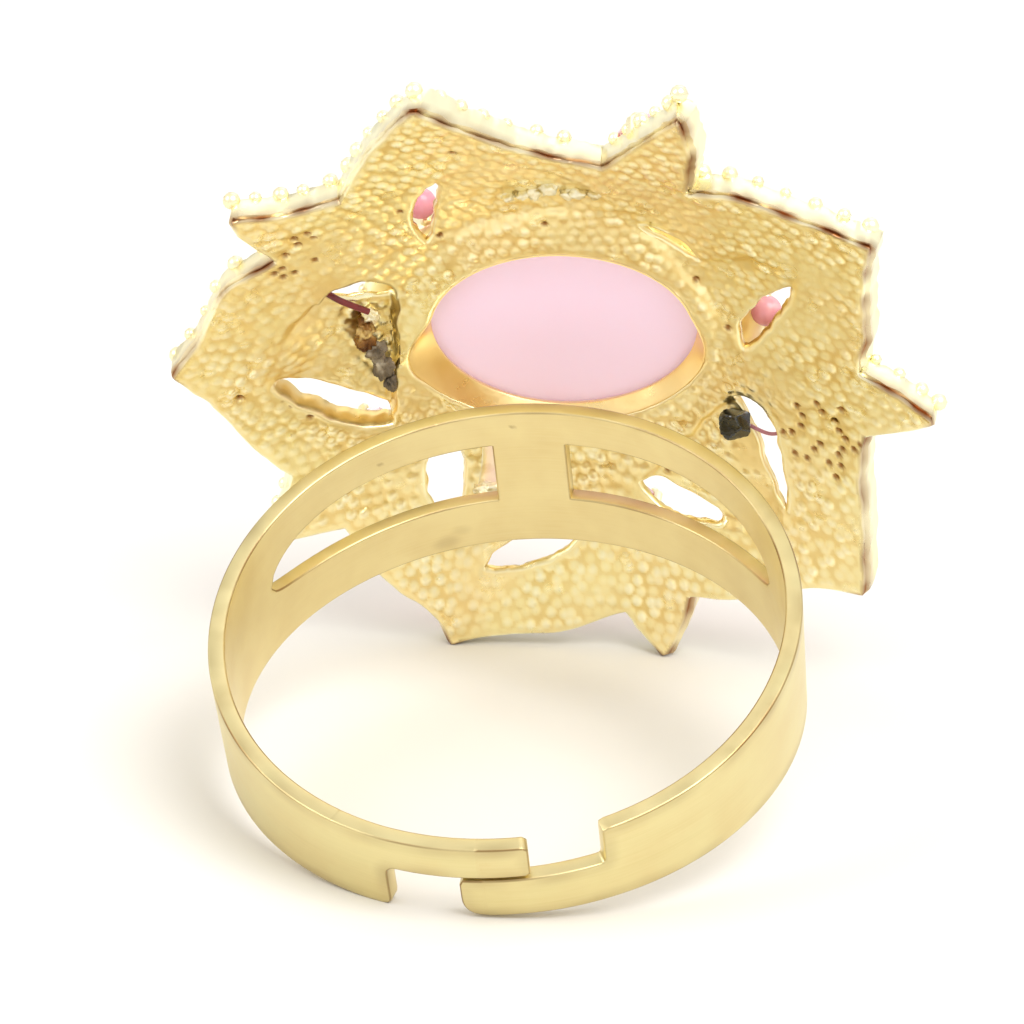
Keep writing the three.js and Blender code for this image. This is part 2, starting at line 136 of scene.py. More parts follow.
# The crescent slits either side of each inner petal: where one starts beside the collar, its
# middle and its outer end, then its width and the thickness of its edge. After the two slits
# come the inner petal's own tip and how far that petal lies in front of the others.
INNER_PETALS = [
    ("broad_petal_1", [(24, 6.5), (26.0, 7.6), (39.8, 9.95), 0.76, 0.45],
     [(69, 6.9), (62, 7.9), (54, 9.1), 0.75, 0.4], (46.5, 10.7), 0.3),
    ("broad_petal_2", [(84, 7.3), (96, 8.5), (110, 9.8), 0.95, 0.35],
     [(139, 6.1), (129, 7.35), (119, 9.1), 1.25, 0.35], (115, 10.5), 0.18),
    ("broad_petal_3", [(152, 7.1), (162, 8.1), (177, 9.95), 0.68, 1.05],
     [(196.5, 5.95), (200.3, 7.05), (197.8, 8.45), 1.1, 0.4], (184.4, 10.1), 0.65),
    ("broad_petal_4", [(225.5, 6.1), (235, 7.3), (245, 8.4), 0.65, 0.45],
     [(290, 6.2), (284, 6.8), (275, 7.5), 0.0, 0.4], (259, 8.9), 0.14),
    ("broad_petal_5", [(303, 5.6), (314, 5.85), (326, 5.95), 0.5, 0.25],
     [(4, 6.35), (353, 6.9), (339.5, 8.7), 0.7, 0.45], (330, 9.6), 0.14),
]

# Patches that came out smooth: (angle, distance), radius of the patch.
SMOOTH_PATCHES = [((36, 8.0), 1.0), ((43, 9.1), 0.9), ((203, 8.2), 0.7), ((330, 7.6), 0.6)]

# Patches of open pits in the casting: (angle, distance), radius of the patch, share of pits.
PIT_PATCHES = [((19, 9.6), 1.5, 0.5), ((213, 10.0), 1.3, 0.35), ((172, 9.3), 1.2, 0.16)]


# ------------------------------------------------------------------ frame
def own_frame():
    """The matrix from the ring's own frame, in mm, to the row frame.

    The ring's own X goes from the left hinge to the right one, Y is the hinges' axis and
    Z points from the finger to the flower. Its origin is the middle of the bore."""
    hinges = {joint["name"]: joint for joint in frame["joints"]}
    left = Vector(hinges["left_arm_bend"]["pos_m"])
    right = Vector(hinges["right_arm_bend"]["pos_m"])
    y_axis = Vector(hinges["left_arm_bend"]["axis"]).normalized()
    x_axis = (right - left).normalized()
    z_axis = x_axis.cross(y_axis)
    rise = (BORE_RADIUS + SHEET / 2) * MM * math.cos(math.radians(HINGE_ANGLE))
    turn = Matrix((x_axis, y_axis, z_axis)).transposed().to_4x4()
    return Matrix.Translation((left + right) / 2 - rise * z_axis) @ turn @ Matrix.Scale(MM, 4)


OWN = own_frame()


def polar(angle, distance):
    turn = math.radians(angle)
    return (distance * math.cos(turn), distance * math.sin(turn))


def smooth_path(points, steps=8):
    """A Catmull-Rom curve through the points, with straight run-outs at its two ends."""
    points = [np.array(p, float) for p in points]
    points = [2 * points[0] - points[1], *points, 2 * points[-1] - points[-2]]
    path = []
    for a, b, c, d in zip(points, points[1:], points[2:], points[3:]):
        for k in range(steps):
            t = k / steps
            path.append(0.5 * (2 * b + (c - a) * t + (2 * a - 5 * b + 4 * c - d) * t * t
                               + (3 * b - a - 3 * c + d) * t ** 3))
    path.append(points[-2])
    return path


def smoothstep(value, low, high):
    t = np.clip((value - low) / (high - low), 0, 1)
    return t * t * (3 - 2 * t)


# ------------------------------------------------------------------ distance fields
def polygon_distance(points, corners):
    """Distance from each point to a closed polygon, negative inside it."""
    nearest = np.full(len(points), np.inf)
    inside = np.zeros(len(points), bool)
    x, y = points[:, 0], points[:, 1]
    for (ax, ay), (bx, by) in zip(corners, np.roll(corners, -1, axis=0)):
        dx, dy = bx - ax, by - ay
        along = np.clip(((x - ax) * dx + (y - ay) * dy) / max(dx * dx + dy * dy, 1e-12), 0, 1)
        nearest = np.minimum(nearest, (x - ax - along * dx) ** 2 + (y - ay - along * dy) ** 2)
        crosses = (ay > y) != (by > y)
        inside ^= crosses & (x < ax + (y - ay) * dx / (dy if dy else 1e-12))
    return np.where(inside, -1, 1) * np.sqrt(nearest)


def oval_point(oval, turn, offset=0.0):
    """A point of an uneven oval round the flower's middle, or of one a little outside it."""
    share = float(smoothstep(math.sin(turn), -0.25, 0.45))
    left, right, height = (a + (b - a) * share + offset for a, b in zip(*oval))
    return (math.cos(turn) * (right if math.cos(turn) > 0 else left), math.sin(turn) * height)


def ripple(points, pitch, seed):
    """Soft unevenness between about -1 and 1, from a few waves that cross."""
    total = np.zeros(len(points))
    for k in range(5):
        turn = 2.4 * k + seed
        rate = 2 * math.pi / pitch * (0.7 + 0.19 * k)
        along = points[:, 0] * math.cos(turn) + points[:, 1] * math.sin(turn)
        total += np.sin(along * rate + 1.7 * seed + 2.1 * k)
    return total / 3


def gradient(field, points, reach=0.02):
    sideways = np.array([reach, 0.0])
    upward = np.array([0.0, reach])
    return np.stack([field(points + sideways) - field(points - sideways),
                     field(points + upward) - field(points - upward)], axis=1) / (2 * reach)


def cut_sheet(field, low, high, spacing):
    """The part of a grid where field is negative, with its edge drawn onto the zero line.

    Returns its points, triangles, open edges and the points' numbers on the grid."""
    columns = np.arange(math.floor(low[0] / spacing), math.ceil(high[0] / spacing) + 1)
    rows = np.arange(math.floor(low[1] / spacing), math.ceil(high[1] / spacing) + 1)
    grid = np.stack(np.meshgrid(columns, rows, indexing="ij"), -1).reshape(-1, 2) * spacing
    value = field(grid)
    state = np.sign(value).astype(int)
    near = np.abs(value) < 0.55 * spacing
    state[near] = 0
    moved = grid[near]
    for _ in range(3):
        slope = gradient(field, moved)
        steepness = np.maximum((slope ** 2).sum(axis=1), 0.5)
        moved = moved - slope * (field(moved) / steepness)[:, None]
    grid[near] = moved
    corner = np.arange(len(grid)).reshape(len(columns), len(rows))
    a, b = corner[:-1, :-1].ravel(), corner[1:, :-1].ravel()
    c, d = corner[1:, 1:].ravel(), corner[:-1, 1:].ravel()
    crossed = state[a] * state[c] == -1
    first = np.where(crossed[:, None], np.stack([a, b, d], 1), np.stack([a, b, c], 1))
    second = np.where(crossed[:, None], np.stack([b, c, d], 1), np.stack([a, c, d], 1))
    triangles = np.concatenate([first, second])
    triangles = triangles[(state[triangles] <= 0).all(axis=1)]
    p, q, r = (grid[triangles[:, k]] for k in range(3))
    doubled = (q[:, 0] - p[:, 0]) * (r[:, 1] - p[:, 1]) - (q[:, 1] - p[:, 1]) * (r[:, 0] - p[:, 0])
    triangles = triangles[(doubled > 0.02 * spacing ** 2) & (field((p + q + r) / 3) < 0)]
    return sheet_part(grid, triangles)


def sheet_part(flat, triangles):
    """The points that some triangles use, the triangles, and the edges with no neighbour."""
    used, triangles = np.unique(triangles, return_inverse=True)
    triangles = triangles.reshape(-1, 3)
    count = len(used)
    edges = np.concatenate([triangles[:, [0, 1]], triangles[:, [1, 2]], triangles[:, [2, 0]]])
    one_way = edges[:, 0] * count + edges[:, 1]
    other_way = edges[:, 1] * count + edges[:, 0]
    return flat[used], triangles, edges[~np.isin(one_way, other_way)], used


def split_sheet(sheet, belongs):
    """A share of a sheet: its points, triangles and edges, and which points lie on the
    whole sheet's own edge rather than where it was split."""
    flat, triangles, edges, _ = sheet
    kept = triangles[belongs(flat[triangles].mean(axis=1))]
    part_flat, part_triangles, part_edges, used = sheet_part(flat, kept)
    return part_flat, part_triangles, part_edges, np.isin(used, edges)


# ------------------------------------------------------------------ meshes
def add_mesh(name, points, faces, material, attributes=None, sharp_angle=40):
    """A smooth-shaded mesh object from points in the ring's own frame, in mm."""
    mesh = bpy.data.meshes.new(name)
    mesh.from_pydata([tuple(p) for p in points], [], [tuple(f) for f in faces])
    mesh.transform(OWN)
    for key, values in (attributes or {}).items():
        attribute = mesh.attributes.new(key, "FLOAT", "POINT")
        attribute.data.foreach_set("value", np.asarray(values, np.float32))
    mesh.polygons.foreach_set("use_smooth", [True] * len(mesh.polygons))
    mesh.set_sharp_from_angle(angle=math.radians(sharp_angle))
    mesh.materials.append(material)
    mesh.update()
    piece = bpy.data.objects.new(name, mesh)
    bpy.context.scene.collection.objects.link(piece)
    return piece


def join_parts(parts):
    """One list of points and one of faces from several (points, faces) pairs."""
    points, faces = [], []
    for part_points, part_faces in parts:
        start = len(points)
        points.extend(tuple(p) for p in part_points)
        faces.extend(tuple(start + k for k in f) for f in part_faces)
    return points, faces


def walled_sheet(sheet, field, back, front, rings, place):
    """A solid from a cut sheet: a back, a front, and a wall of rings round every edge.

    back and front give the depth at each point. rings(points, back depth, front depth) gives,
    for each ring, how far it stands out and its depth. Points where the sheet was split from
    its neighbour stay put. place turns flat points and depths into points in space."""
    flat, triangles, edges, real = sheet
    count = len(flat)
    rim = np.unique(edges)
    slot = np.full(count, -1)
    slot[rim] = np.arange(len(rim))
    outward = gradient(field, flat[rim])
    outward /= np.maximum(np.linalg.norm(outward, axis=1), 1e-6)[:, None]
    outward *= real[rim][:, None]
    back_depth = back(flat)
    front_depth = front(flat)
    levels = [rim]
    points = [place(flat, back_depth), place(flat, front_depth)]
    total = 2 * count
    for stand_out, depth in rings(flat[rim], back_depth[rim], front_depth[rim]):
        points.append(place(flat[rim] + outward * stand_out[:, None], depth))
        levels.append(total + np.arange(len(rim)))
        total += len(rim)
    levels.append(count + rim)
    a, b = slot[edges[:, 0]], slot[edges[:, 1]]
    faces = [tuple(t) for t in triangles[:, ::-1]]
    faces += [tuple(t) for t in triangles + count]
    for low, high in zip(levels, levels[1:]):
        faces += list(zip(low[a], low[b], high[b], high[a]))
    return np.concatenate(points), faces, count, len(rim)


def band_faces(rows, segments, start=0):
    """Four-sided faces between rings of points that follow one another."""
    faces = []
    for row in range(rows - 1):
        for k in range(segments):
            a = start + row * segments + k
            b = start + row * segments + (k + 1) % segments
            faces.append((a, b, b + segments, a + segments))
    return faces


def round_faces(rows, segments):
    """Faces of a round body: its first point, some rings of points and its last point."""
    last = rows * segments + 1
    faces = band_faces(rows, segments, 1)
    for k in range(segments):
        after = (k + 1) % segments
        faces += [(0, 1 + after, 1 + k), (last, last - segments + k, last - segments + after)]
    return faces


def end_faces(rows, segments):
    """The first and the last ring of points, each as one face."""
    return [tuple(reversed(range(segments))), tuple(range((rows - 1) * segments, rows * segments))]


def ball_part(centre, radius, rings=6, segments=10):
    """A small round bead as points and faces."""
    x, y, z = centre
    points = [(x, y, z - radius)]
    for i in range(1, rings):
        tilt = math.pi * i / rings
        for j in range(segments):
            turn = 2 * math.pi * j / segments
            points.append((x + radius * math.sin(tilt) * math.cos(turn),
                           y + radius * math.sin(tilt) * math.sin(turn),
                           z - radius * math.cos(tilt)))
    points.append((x, y, z + radius))
    return points, round_faces(rings - 1, segments)


def tube_part(path, radius, segments=12):
    """A round wire along a path, closed at both ends."""
    path = [Vector(p) for p in path]
    points = []
    side = (path[1] - path[0]).orthogonal().normalized()
    for k, centre in enumerate(path):
        heading = (path[min(k + 1, len(path) - 1)] - path[max(k - 1, 0)]).normalized()
        side = (side - side.dot(heading) * heading).normalized()
        other = heading.cross(side)
        for j in range(segments):
            turn = 2 * math.pi * j / segments
            points.append(centre + radius * (side * math.cos(turn) + other * math.sin(turn)))
    return points, band_faces(len(path), segments) + end_faces(len(path), segments)


def on_head(piece, slot, *nodes):
    """Puts a piece on the ring's head and hides the CAD nodes it stands for. slot, its finish, is not used.
    """
    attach(piece, "ring_head")
    if nodes:
        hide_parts(*nodes)


# ------------------------------------------------------------------ materials
class Look:
    """A node material while it is being wired."""

    def __init__(self, name):
        self.material = bpy.data.materials.new(name)
        self.material.use_nodes = True
        self.tree = self.material.node_tree
        self.shader = self.tree.nodes["Principled BSDF"]

    def node(self, kind, settings=None, **inputs):
        made = self.tree.nodes.new("ShaderNode" + kind)
        for key, value in (settings or {}).items():
            setattr(made, key, value)
        for key, value in inputs.items():
            self.feed(made, key.replace("_", " "), value)
        return made

    def feed(self, node, key, value):
        socket = node.inputs[int(key)] if key.isdigit() else node.inputs[key]
        if isinstance(value, bpy.types.NodeSocket):
            self.tree.links.new(value, socket)
        else:
            socket.default_value = value

    def attribute(self, name):
        return self.node("Attribute", {"attribute_name": name}).outputs["Fac"]

    def object_place(self):
        return self.node("TexCoord").outputs["Object"]

    def noise(self, place, scale, detail=3.0, stretch=None):
        if stretch:
            place = self.node("Mapping", Vector=place, Scale=stretch).outputs["Vector"]
        return self.node("TexNoise", Vector=place, Scale=scale, Detail=detail).outputs["Fac"]

    def ramp(self, value, *stops):
        made = self.node("ValToRGB", Fac=value)
        stopped = made.color_ramp.elements
        while len(stopped) < len(stops):
            stopped.new(0.5)
        for element, (position, color) in zip(stopped, stops):
            element.position = position
            element.color = (*color, 1)
        return made.outputs["Color"]

    def blend(self, share, first, second):
        made = self.node("Mix", {"data_type": "RGBA"})
        for key, value in (("0", share), ("6", first), ("7", second)):
            self.feed(made, key, (*value, 1) if isinstance(value, tuple) else value)
        return made.outputs[2]

    def fit(self, value, low, high, to_low, to_high):
        return self.node("MapRange", Value=value, From_Min=low, From_Max=high,
                         To_Min=to_low, To_Max=to_high).outputs["Result"]

    def bump(self, height, distance, strength):
        made = self.node("Bump", Height=height, Distance=distance, Strength=strength)
        self.feed(self.shader, "Normal", made.outputs["Normal"])

    def finish(self, **inputs):
        for key, value in inputs.items():
            self.feed(self.shader, key.replace("_", " "), value)
        return self.material


def cast_brass():
    """Grained gilt casting with light and shade painted into its colour: pale on the grains, ochre
    between them, dark brown in the pits and creases, and darker and warmer inside the collar."""
    look = Look("cast_brass")
    place = look.object_place()
    patches = look.noise(place, 260.0, 3.0)
    # Painted light and shade: the hollow mark runs from pale gold on the grains' tops to ochre between
    # them.
    hollow = look.attribute("hollow")
    tint = look.ramp(hollow, (0.0, (0.99, 0.95, 0.67)), (0.5, (0.94, 0.83, 0.44)),
                     (1.0, (0.74, 0.52, 0.15)))
    tint = look.blend(look.fit(patches, 0.4, 0.7, 0.0, 0.45), tint, (0.93, 0.71, 0.37))
    # Painted shade: the collar under the stone is tinted darker and warmer.
    tint = look.blend(look.attribute("collar"), tint, (0.96, 0.70, 0.30))
    # Painted shade: dark brown in the pits and creases of the petals.
    color = look.blend(look.attribute("grime_and_shade"), tint, (0.24, 0.075, 0.014))
    rough = look.fit(look.noise(place, 900.0), 0.3, 0.7, 0.24, 0.42)
    look.bump(look.noise(place, 5200.0, 2.0), 0.00002, 0.35)
    return look.finish(Base_Color=color, Metallic=1.0, Roughness=rough)


def satin_brass():
    """Thin gilt strip: satin from rolling, with fine scratches along it."""
    look = Look("satin_brass")
    place = look.node("Attribute", {"attribute_name": "sheet_place"}).outputs["Vector"]
    streaks = look.noise(place, 1.0, 4.0, stretch=(0.5, 14.0, 1.0))
    clouds = look.noise(place, 0.55, 3.0)
    # Painted light: the bore side is tinted paler than the outside.
    inner = look.attribute("inner")
    base = look.blend(inner, (0.76, 0.67, 0.345), (0.83, 0.705, 0.37))
    base = look.blend(look.fit(clouds, 0.35, 0.75, 0.0, 0.5), base, (0.70, 0.54, 0.25))
    base = look.blend(look.fit(streaks, 0.3, 0.8, 0.0, 0.3), base, (0.92, 0.82, 0.50))
    # Tarnish spots, and darker bands and lines along the edges.
    color = look.blend(look.attribute("grime_and_shade"), base, (0.20, 0.09, 0.02))
    rough = look.fit(streaks, 0.3, 0.7, 0.30, 0.44)
    look.bump(streaks, 0.00002, 0.25)
    return look.finish(Base_Color=color, Metallic=1.0, Roughness=rough)


def rose_stone():
    """Milky pink moulded glass."""
    look = Look("rose_stone")
    place = look.object_place()
    clouds = look.noise(place, 140.0, 2.0)
    flat_back = look.attribute("flat_back")
    dome = look.ramp(clouds, (0.3, (0.80, 0.27, 0.40)), (0.7, (0.86, 0.36, 0.48)))
    # Painted light: the flat back is tinted paler pink than the dome.
    color = look.blend(flat_back, dome, (0.91, 0.70, 0.87))
    painted_glow = look.fit(flat_back, 0.0, 1.0, 0.0, 0.13)
    grain = look.noise(place, 700.0)
    polished = look.fit(grain, 0.3, 0.7, 0.08, 0.14)
    ground = look.fit(grain, 0.3, 0.7, 0.4, 0.5)
    rough = look.blend(flat_back, polished, ground)
    look.bump(look.noise(place, 1500.0), 0.00001, 0.1)
    # Painted light: the flat back glows a little, standing in for the light that comes through the milky
    # glass from the front.
    return look.finish(Base_Color=color, Roughness=rough, Subsurface_Weight=0.2,
                       Subsurface_Radius=(0.6, 0.3, 0.3), Subsurface_Scale=0.002,
                       Emission_Color=(1.0, 0.68, 0.86, 1), Emission_Strength=painted_glow)


def speckled(name, cloud, stops, gloss, relief=None, **settings):
    """A look made of noise: cloud is the scale and detail of the colours, gloss the scale of the
    roughness with its ends, and relief the scale, detail, depth (in m) and strength of the bump."""
    look = Look(name)
    place = look.object_place()
    color = look.ramp(look.noise(place, *cloud), *stops)
    scale, low, high = gloss
    rough = look.fit(look.noise(place, scale), 0.3, 0.7, low, high)
    if relief:
        scale, detail, depth, strength = relief
        look.bump(look.noise(place, scale, detail), depth, strength)
    return look.finish(Base_Color=color, Roughness=rough, **settings)


def studio_floor():
    look = Look("studio_floor")
    place = look.object_place()
    color = look.ramp(look.noise(place, 60.0, 2.0), (0.3, (0.71, 0.69, 0.655)),
                      (0.7, (0.73, 0.71, 0.675)))
    return look.finish(Base_Color=color, Roughness=0.9)


LOOKS = {
    "cast": cast_brass(),
    "satin": satin_brass(),
    "rose": rose_stone(),
    "floor": studio_floor(),
    "enamel": speckled(
        "pink_enamel", (420.0, 4.0),
        ((0.25, (0.62, 0.10, 0.24)), (0.6, (0.80, 0.20, 0.36)), (0.85, (0.90, 0.36, 0.48))),
        (1300.0, 0.10, 0.22), (800.0, 2.0, 0.00004, 0.2), Coat_Weight=0.6),
    "glass": speckled(
        "pink_glass", (300.0, 2.0), ((0.3, (0.88, 0.26, 0.40)), (0.7, (0.96, 0.48, 0.58))),
        (1700.0, 0.03, 0.09), Transmission_Weight=0.45, IOR=1.52),
    "red": speckled(
        "red_wire", (1500.0, 3.0), ((0.3, (0.10, 0.008, 0.010)), (0.7, (0.24, 0.02, 0.024))),
        (2600.0, 0.3, 0.5), (3000.0, 3.0, 0.00002, 0.3), Coat_Weight=0.1),
    "mauve": speckled(
        "mauve_wire", (1500.0, 3.0), ((0.3, (0.38, 0.12, 0.16)), (0.7, (0.58, 0.25, 0.30))),
        (2600.0, 0.22, 0.45), Coat_Weight=0.4),
    # bright tin with a little gilt over it
    "solder": speckled(
        "solder", (900.0, 4.0), ((0.35, (0.74, 0.62, 0.34)), (0.55, (0.98, 0.94, 0.74))),
        (2000.0, 0.35, 0.6), (2300.0, 4.0, 0.00004, 0.6), Metallic=1.0),
    # grey-brown glue beside the collar
    "cement": speckled(
        "cement", (1400.0, 5.0),
        ((0.3, (0.05, 0.035, 0.02)), (0.5, (0.22, 0.17, 0.11)), (0.68, (0.55, 0.48, 0.36))),
        (2500.0, 0.45, 0.8), (2600.0, 4.0, 0.00006, 0.7), Metallic=0.1),
    # dark brown flux burnt onto the gilding
    "residue": speckled(
        "residue", (1200.0, 5.0),
        ((0.4, (0.10, 0.03, 0.008)), (0.55, (0.30, 0.14, 0.03)), (0.7, (0.75, 0.55, 0.22))),
        (2500.0, 0.25, 0.6), (2600.0, 4.0, 0.00005, 0.7), Metallic=0.6),
    "black": speckled(
        "black_chip", (1500.0, 4.0),
        ((0.4, (0.006, 0.007, 0.006)), (0.6, (0.05, 0.052, 0.045)), (0.75, (0.35, 0.35, 0.29))),
        (2500.0, 0.05, 0.22), (1800.0, 3.0, 0.00005, 0.5), Coat_Weight=0.5),
}


# ------------------------------------------------------------------ shank
def strip_half_width(angle):
    fade = np.exp(-((np.abs(angle) / TAPER_REACH) ** TAPER_POWER))
    return BASE_HALF_WIDTH + (CROWN_HALF_WIDTH - BASE_HALF_WIDTH) * fade


def window_polygon(hand):
    """One window in the flat strip, in (arc length, y); y is minus the height on the finger."""
    upper, lower = [], []
    for k in range(41):
        angle = BRIDGE_HALF_ANGLE + (WINDOW_END_ANGLE - BRIDGE_HALF_ANGLE) * k / 40
        closing = math.sqrt(max(0.0, 1 - (angle / WINDOW_END_ANGLE) ** 4))
        along = hand * arc(angle)
        upper.append((along, -(WINDOW_MIDDLE + (WINDOW_TOP - WINDOW_MIDDLE) * closing)))
        lower.append((along, -(WINDOW_MIDDLE + (WINDOW_BOTTOM - WINDOW_MIDDLE) * closing)))
    return np.array(upper + lower[::-1])


def arc(angle):
    """Length along the strip, at its mid-thickness, for an angle from the crown."""
    return math.radians(angle) * (BORE_RADIUS + SHEET / 2)


def rounded_corner(before, corner, after, radius, steps=6):
    """Points that replace a corner of an outline by a round one."""
    before, corner, after = (np.array(p, float) for p in (before, corner, after))
    start = corner + (before - corner) / np.linalg.norm(before - corner) * radius
    end = corner + (after - corner) / np.linalg.norm(after - corner) * radius
    path = []
    for k in range(steps + 1):
        t = k / steps
        path.append(tuple((1 - t) ** 2 * start + 2 * t * (1 - t) * corner + t * t * end))
    return path


def arm_end(hand):
    """An arm's outline from one edge of the strip round its tip to the other edge.

    The right arm's tongue is the lower half of the strip and the left arm's the upper half."""
    middle = SPLIT_ANGLE if hand > 0 else 360 - SPLIT_ANGLE
    tip = arc(middle + TONGUE_LAP_ANGLE / 2)
    step_angle = middle - TONGUE_LAP_ANGLE / 2 - TONGUE_SHY_ANGLE
    step = arc(step_angle)
    seam = -SEAM_OFFSET + hand * SEAM_GAP / 2
    tongue_y = hand * float(strip_half_width(middle))
    step_y = -hand * float(strip_half_width(step_angle))
    tongue_round, step_round, fillet = (0.75, 0.14, 0.12) if hand > 0 else (0.16, 0.28, 0.35)
    edge = [(arc(angle), float(strip_half_width(angle))) for angle in np.arange(0, step_angle - 2, 2.0)]
    outline = [(x, hand * y) for x, y in edge]
    outline.append((step, -step_y))
    outline += rounded_corner((step, tongue_y), (tip, tongue_y), (tip, seam), tongue_round)
    outline += rounded_corner((tip, tongue_y), (tip, seam), (step, seam), 0.1)
    outline += rounded_corner((tip, seam), (step, seam), (step, step_y), fillet)
    outline += rounded_corner((step, seam), (step, step_y), (edge[-1][0], -hand * edge[-1][1]), step_round)
    outline += [(x, -hand * y) for x, y in reversed(edge[1:])]
    return [(hand * x, y) for x, y in outline]


STRIP_OUTLINE = np.array(arm_end(1) + arm_end(-1))
WINDOWS = [window_polygon(hand) for hand in (-1, 1)]


def strip_field(points):
    windows = np.minimum(polygon_distance(points, WINDOWS[0]), polygon_distance(points, WINDOWS[1]))
    return np.maximum(polygon_distance(points, STRIP_OUTLINE), -windows) + EDGE_ROUND


def strip_place(flat, depth):
    turn = flat[:, 0] / (BORE_RADIUS + SHEET / 2)
    radius = BORE_RADIUS + depth
    return np.column_stack([radius * np.sin(turn), flat[:, 1] - SKEW * np.sin(turn), radius * np.cos(turn)])


def strip_rings(rim, back, front):
    """Rounded edges, from the bore side to the outside."""
    quarter = [(EDGE_ROUND * math.sin(turn), EDGE_ROUND * (1 - math.cos(turn)))
               for turn in (math.pi / 6, math.pi / 3, math.pi / 2)]
    levels = quarter + [(out, SHEET - sunk) for out, sunk in reversed(quarter)]
    return [(np.full(len(rim), out), np.full(len(rim), depth)) for out, depth in levels]


def strip_piece(name, hand, whole, belongs):
    """A stretch of the strip, cut flat and bent to the bore. hand is -1 for the left arm, 0 for
    the crown and 1 for the right arm."""
    points, faces, _, _ = walled_sheet(
        split_sheet(whole, belongs), strip_field, lambda flat: np.zeros(len(flat)),
        lambda flat: np.full(len(flat), SHEET), strip_rings, strip_place)
    radius = np.hypot(points[:, 0], points[:, 2])
    turn = np.arctan2(points[:, 0], points[:, 2])
    flat = np.stack([turn * (BORE_RADIUS + SHEET / 2), points[:, 1] + SKEW * np.sin(turn)], axis=1)
    flat[:, 0] += 2 * math.pi * (BORE_RADIUS + SHEET / 2) * overrun(hand, flat[:, 0])
    # Darker near the edges on the outside of the strip.
    near_edge = smoothstep(strip_field(flat), -0.5, 0.05) * (0.6 + 0.4 * ripple(flat, 2.3, 5))
    edge_darkening = np.clip(0.32 * near_edge, 0, 1) * (radius > BORE_RADIUS + 0.4)
    # inner marks the bore side for its paler, painted-light tint.
    settings = {"inner": smoothstep(radius, BORE_RADIUS + 0.2, BORE_RADIUS + 0.02),
                "grime_and_shade": np.maximum(edge_darkening, strip_tarnish_and_lines(turn, points[:, 1], radius))}
    piece = add_mesh(name, points, faces, LOOKS["satin"], settings, sharp_angle=50)
    place = np.column_stack([turn * BORE_RADIUS, points[:, 1], radius]).astype(np.float32)
    sheet_place = piece.data.attributes.new("sheet_place", "FLOAT_VECTOR", "POINT")
    sheet_place.data.foreach_set("vector", place.ravel())
    return piece


def overrun(hand, along):
    """Whole turns to add where an arm's tongue runs past the bottom of the ring."""
    return hand * (hand * along < 0).astype(float)


def strip_tarnish_and_lines(turn, y, radius):
    """Faint tarnish spots on the bore side of the crown, and a broken darker line along the edges."""
    grime_and_shade = np.zeros(len(y))
    spots = [((-20.5, 2.5), 0.7, 0.22), ((-17, 2.1), 0.5, 0.12), ((-3.2, -2.3), 0.14, 0.45),
             ((-33, -1.9), 0.16, 0.4)]
    for (angle, spot_y), reach, weight in spots:
        gap = np.hypot((turn - math.radians(angle)) * BORE_RADIUS, (y - spot_y) * 1.6)
        grime_and_shade = np.maximum(grime_and_shade, weight * smoothstep(-gap, -reach, -0.2 * reach))
    grime_and_shade *= radius < BORE_RADIUS + 0.15
    depth = radius - BORE_RADIUS
    corner = np.minimum(np.abs(depth - 0.03), np.abs(depth - SHEET + 0.03)) < 0.025
    broken = 0.5 + 0.4 * ripple(np.stack([turn * BORE_RADIUS, y], axis=1), 5.5, 3)
    return np.maximum(grime_and_shade, np.clip(broken, 0.25, 0.85) * corner)


def make_shank():
    """The crown and the two arms, one strip in three pieces."""
    reach = arc(192)
    whole = cut_sheet(strip_field, (-reach, -3.1), (reach, 3.1), 0.11)
    join = arc(JOIN_ANGLE)
    crown = strip_piece("shank_crown_strip", 0, whole, lambda middles: np.abs(middles[:, 0]) < join)
    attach(crown, "ring_head")
    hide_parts("shank_crown")
    for hand, side in ((-1, "left"), (1, "right")):
        arm = strip_piece(f"shank_arm_{side}_strip", hand, whole,
                          lambda middles: hand * middles[:, 0] > join)
        ends = []
        for angle in (BEND_START_ANGLE, BEND_END_ANGLE):
            turn = math.radians(angle)
            middle = Vector((hand * BORE_RADIUS * math.sin(turn), 0, BORE_RADIUS * math.cos(turn)))
            ends.append(OWN @ middle)
        tuple(ends[0])
        tuple(ends[1])
        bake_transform(arm)
        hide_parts(f"shank_arm_{side}")


# ------------------------------------------------------------------ flower
def dome_height(points):
    distance = np.linalg.norm(points, axis=1)
    reach = (distance - DOME_INNER_RADIUS) / (DOME_OUTER_RADIUS - DOME_INNER_RADIUS)
    return DOME_TOP - DOME_DROP * np.maximum(0, reach) ** DOME_POWER


def petal_sides(index):
    """A petal's outline from its valley up to its tip, and from its tip down to the next valley."""
    _, valley, rise, tip, fall = OUTLINE[index]
    next_valley = OUTLINE[(index + 1) % len(OUTLINE)][1]
    return ([polar(*place) for place in (valley, *rise, tip)],
            [polar(*place) for place in (tip, *fall, next_valley)])


def flower_outline():
    corners = []
    for index in range(len(OUTLINE)):
        for side in petal_sides(index):
            corners += smooth_path(side)[:-1]
    return np.array(corners)


def crescent(start, middle, end, width):
    """A slit with pointed ends along a curve through three places."""
    path = np.array(smooth_path([polar(*start), polar(*middle), polar(*end)], 8))
    heading = np.gradient(path, axis=0)
    heading /= np.linalg.norm(heading, axis=1)[:, None]
    normal = np.stack([-heading[:, 1], heading[:, 0]], axis=1)
    swell = np.sin(np.pi * np.linspace(0, 1, len(path))).clip(0) ** 0.6 * width / 2
    return np.concatenate([path + normal * swell[:, None], (path - normal * swell[:, None])[::-1]])


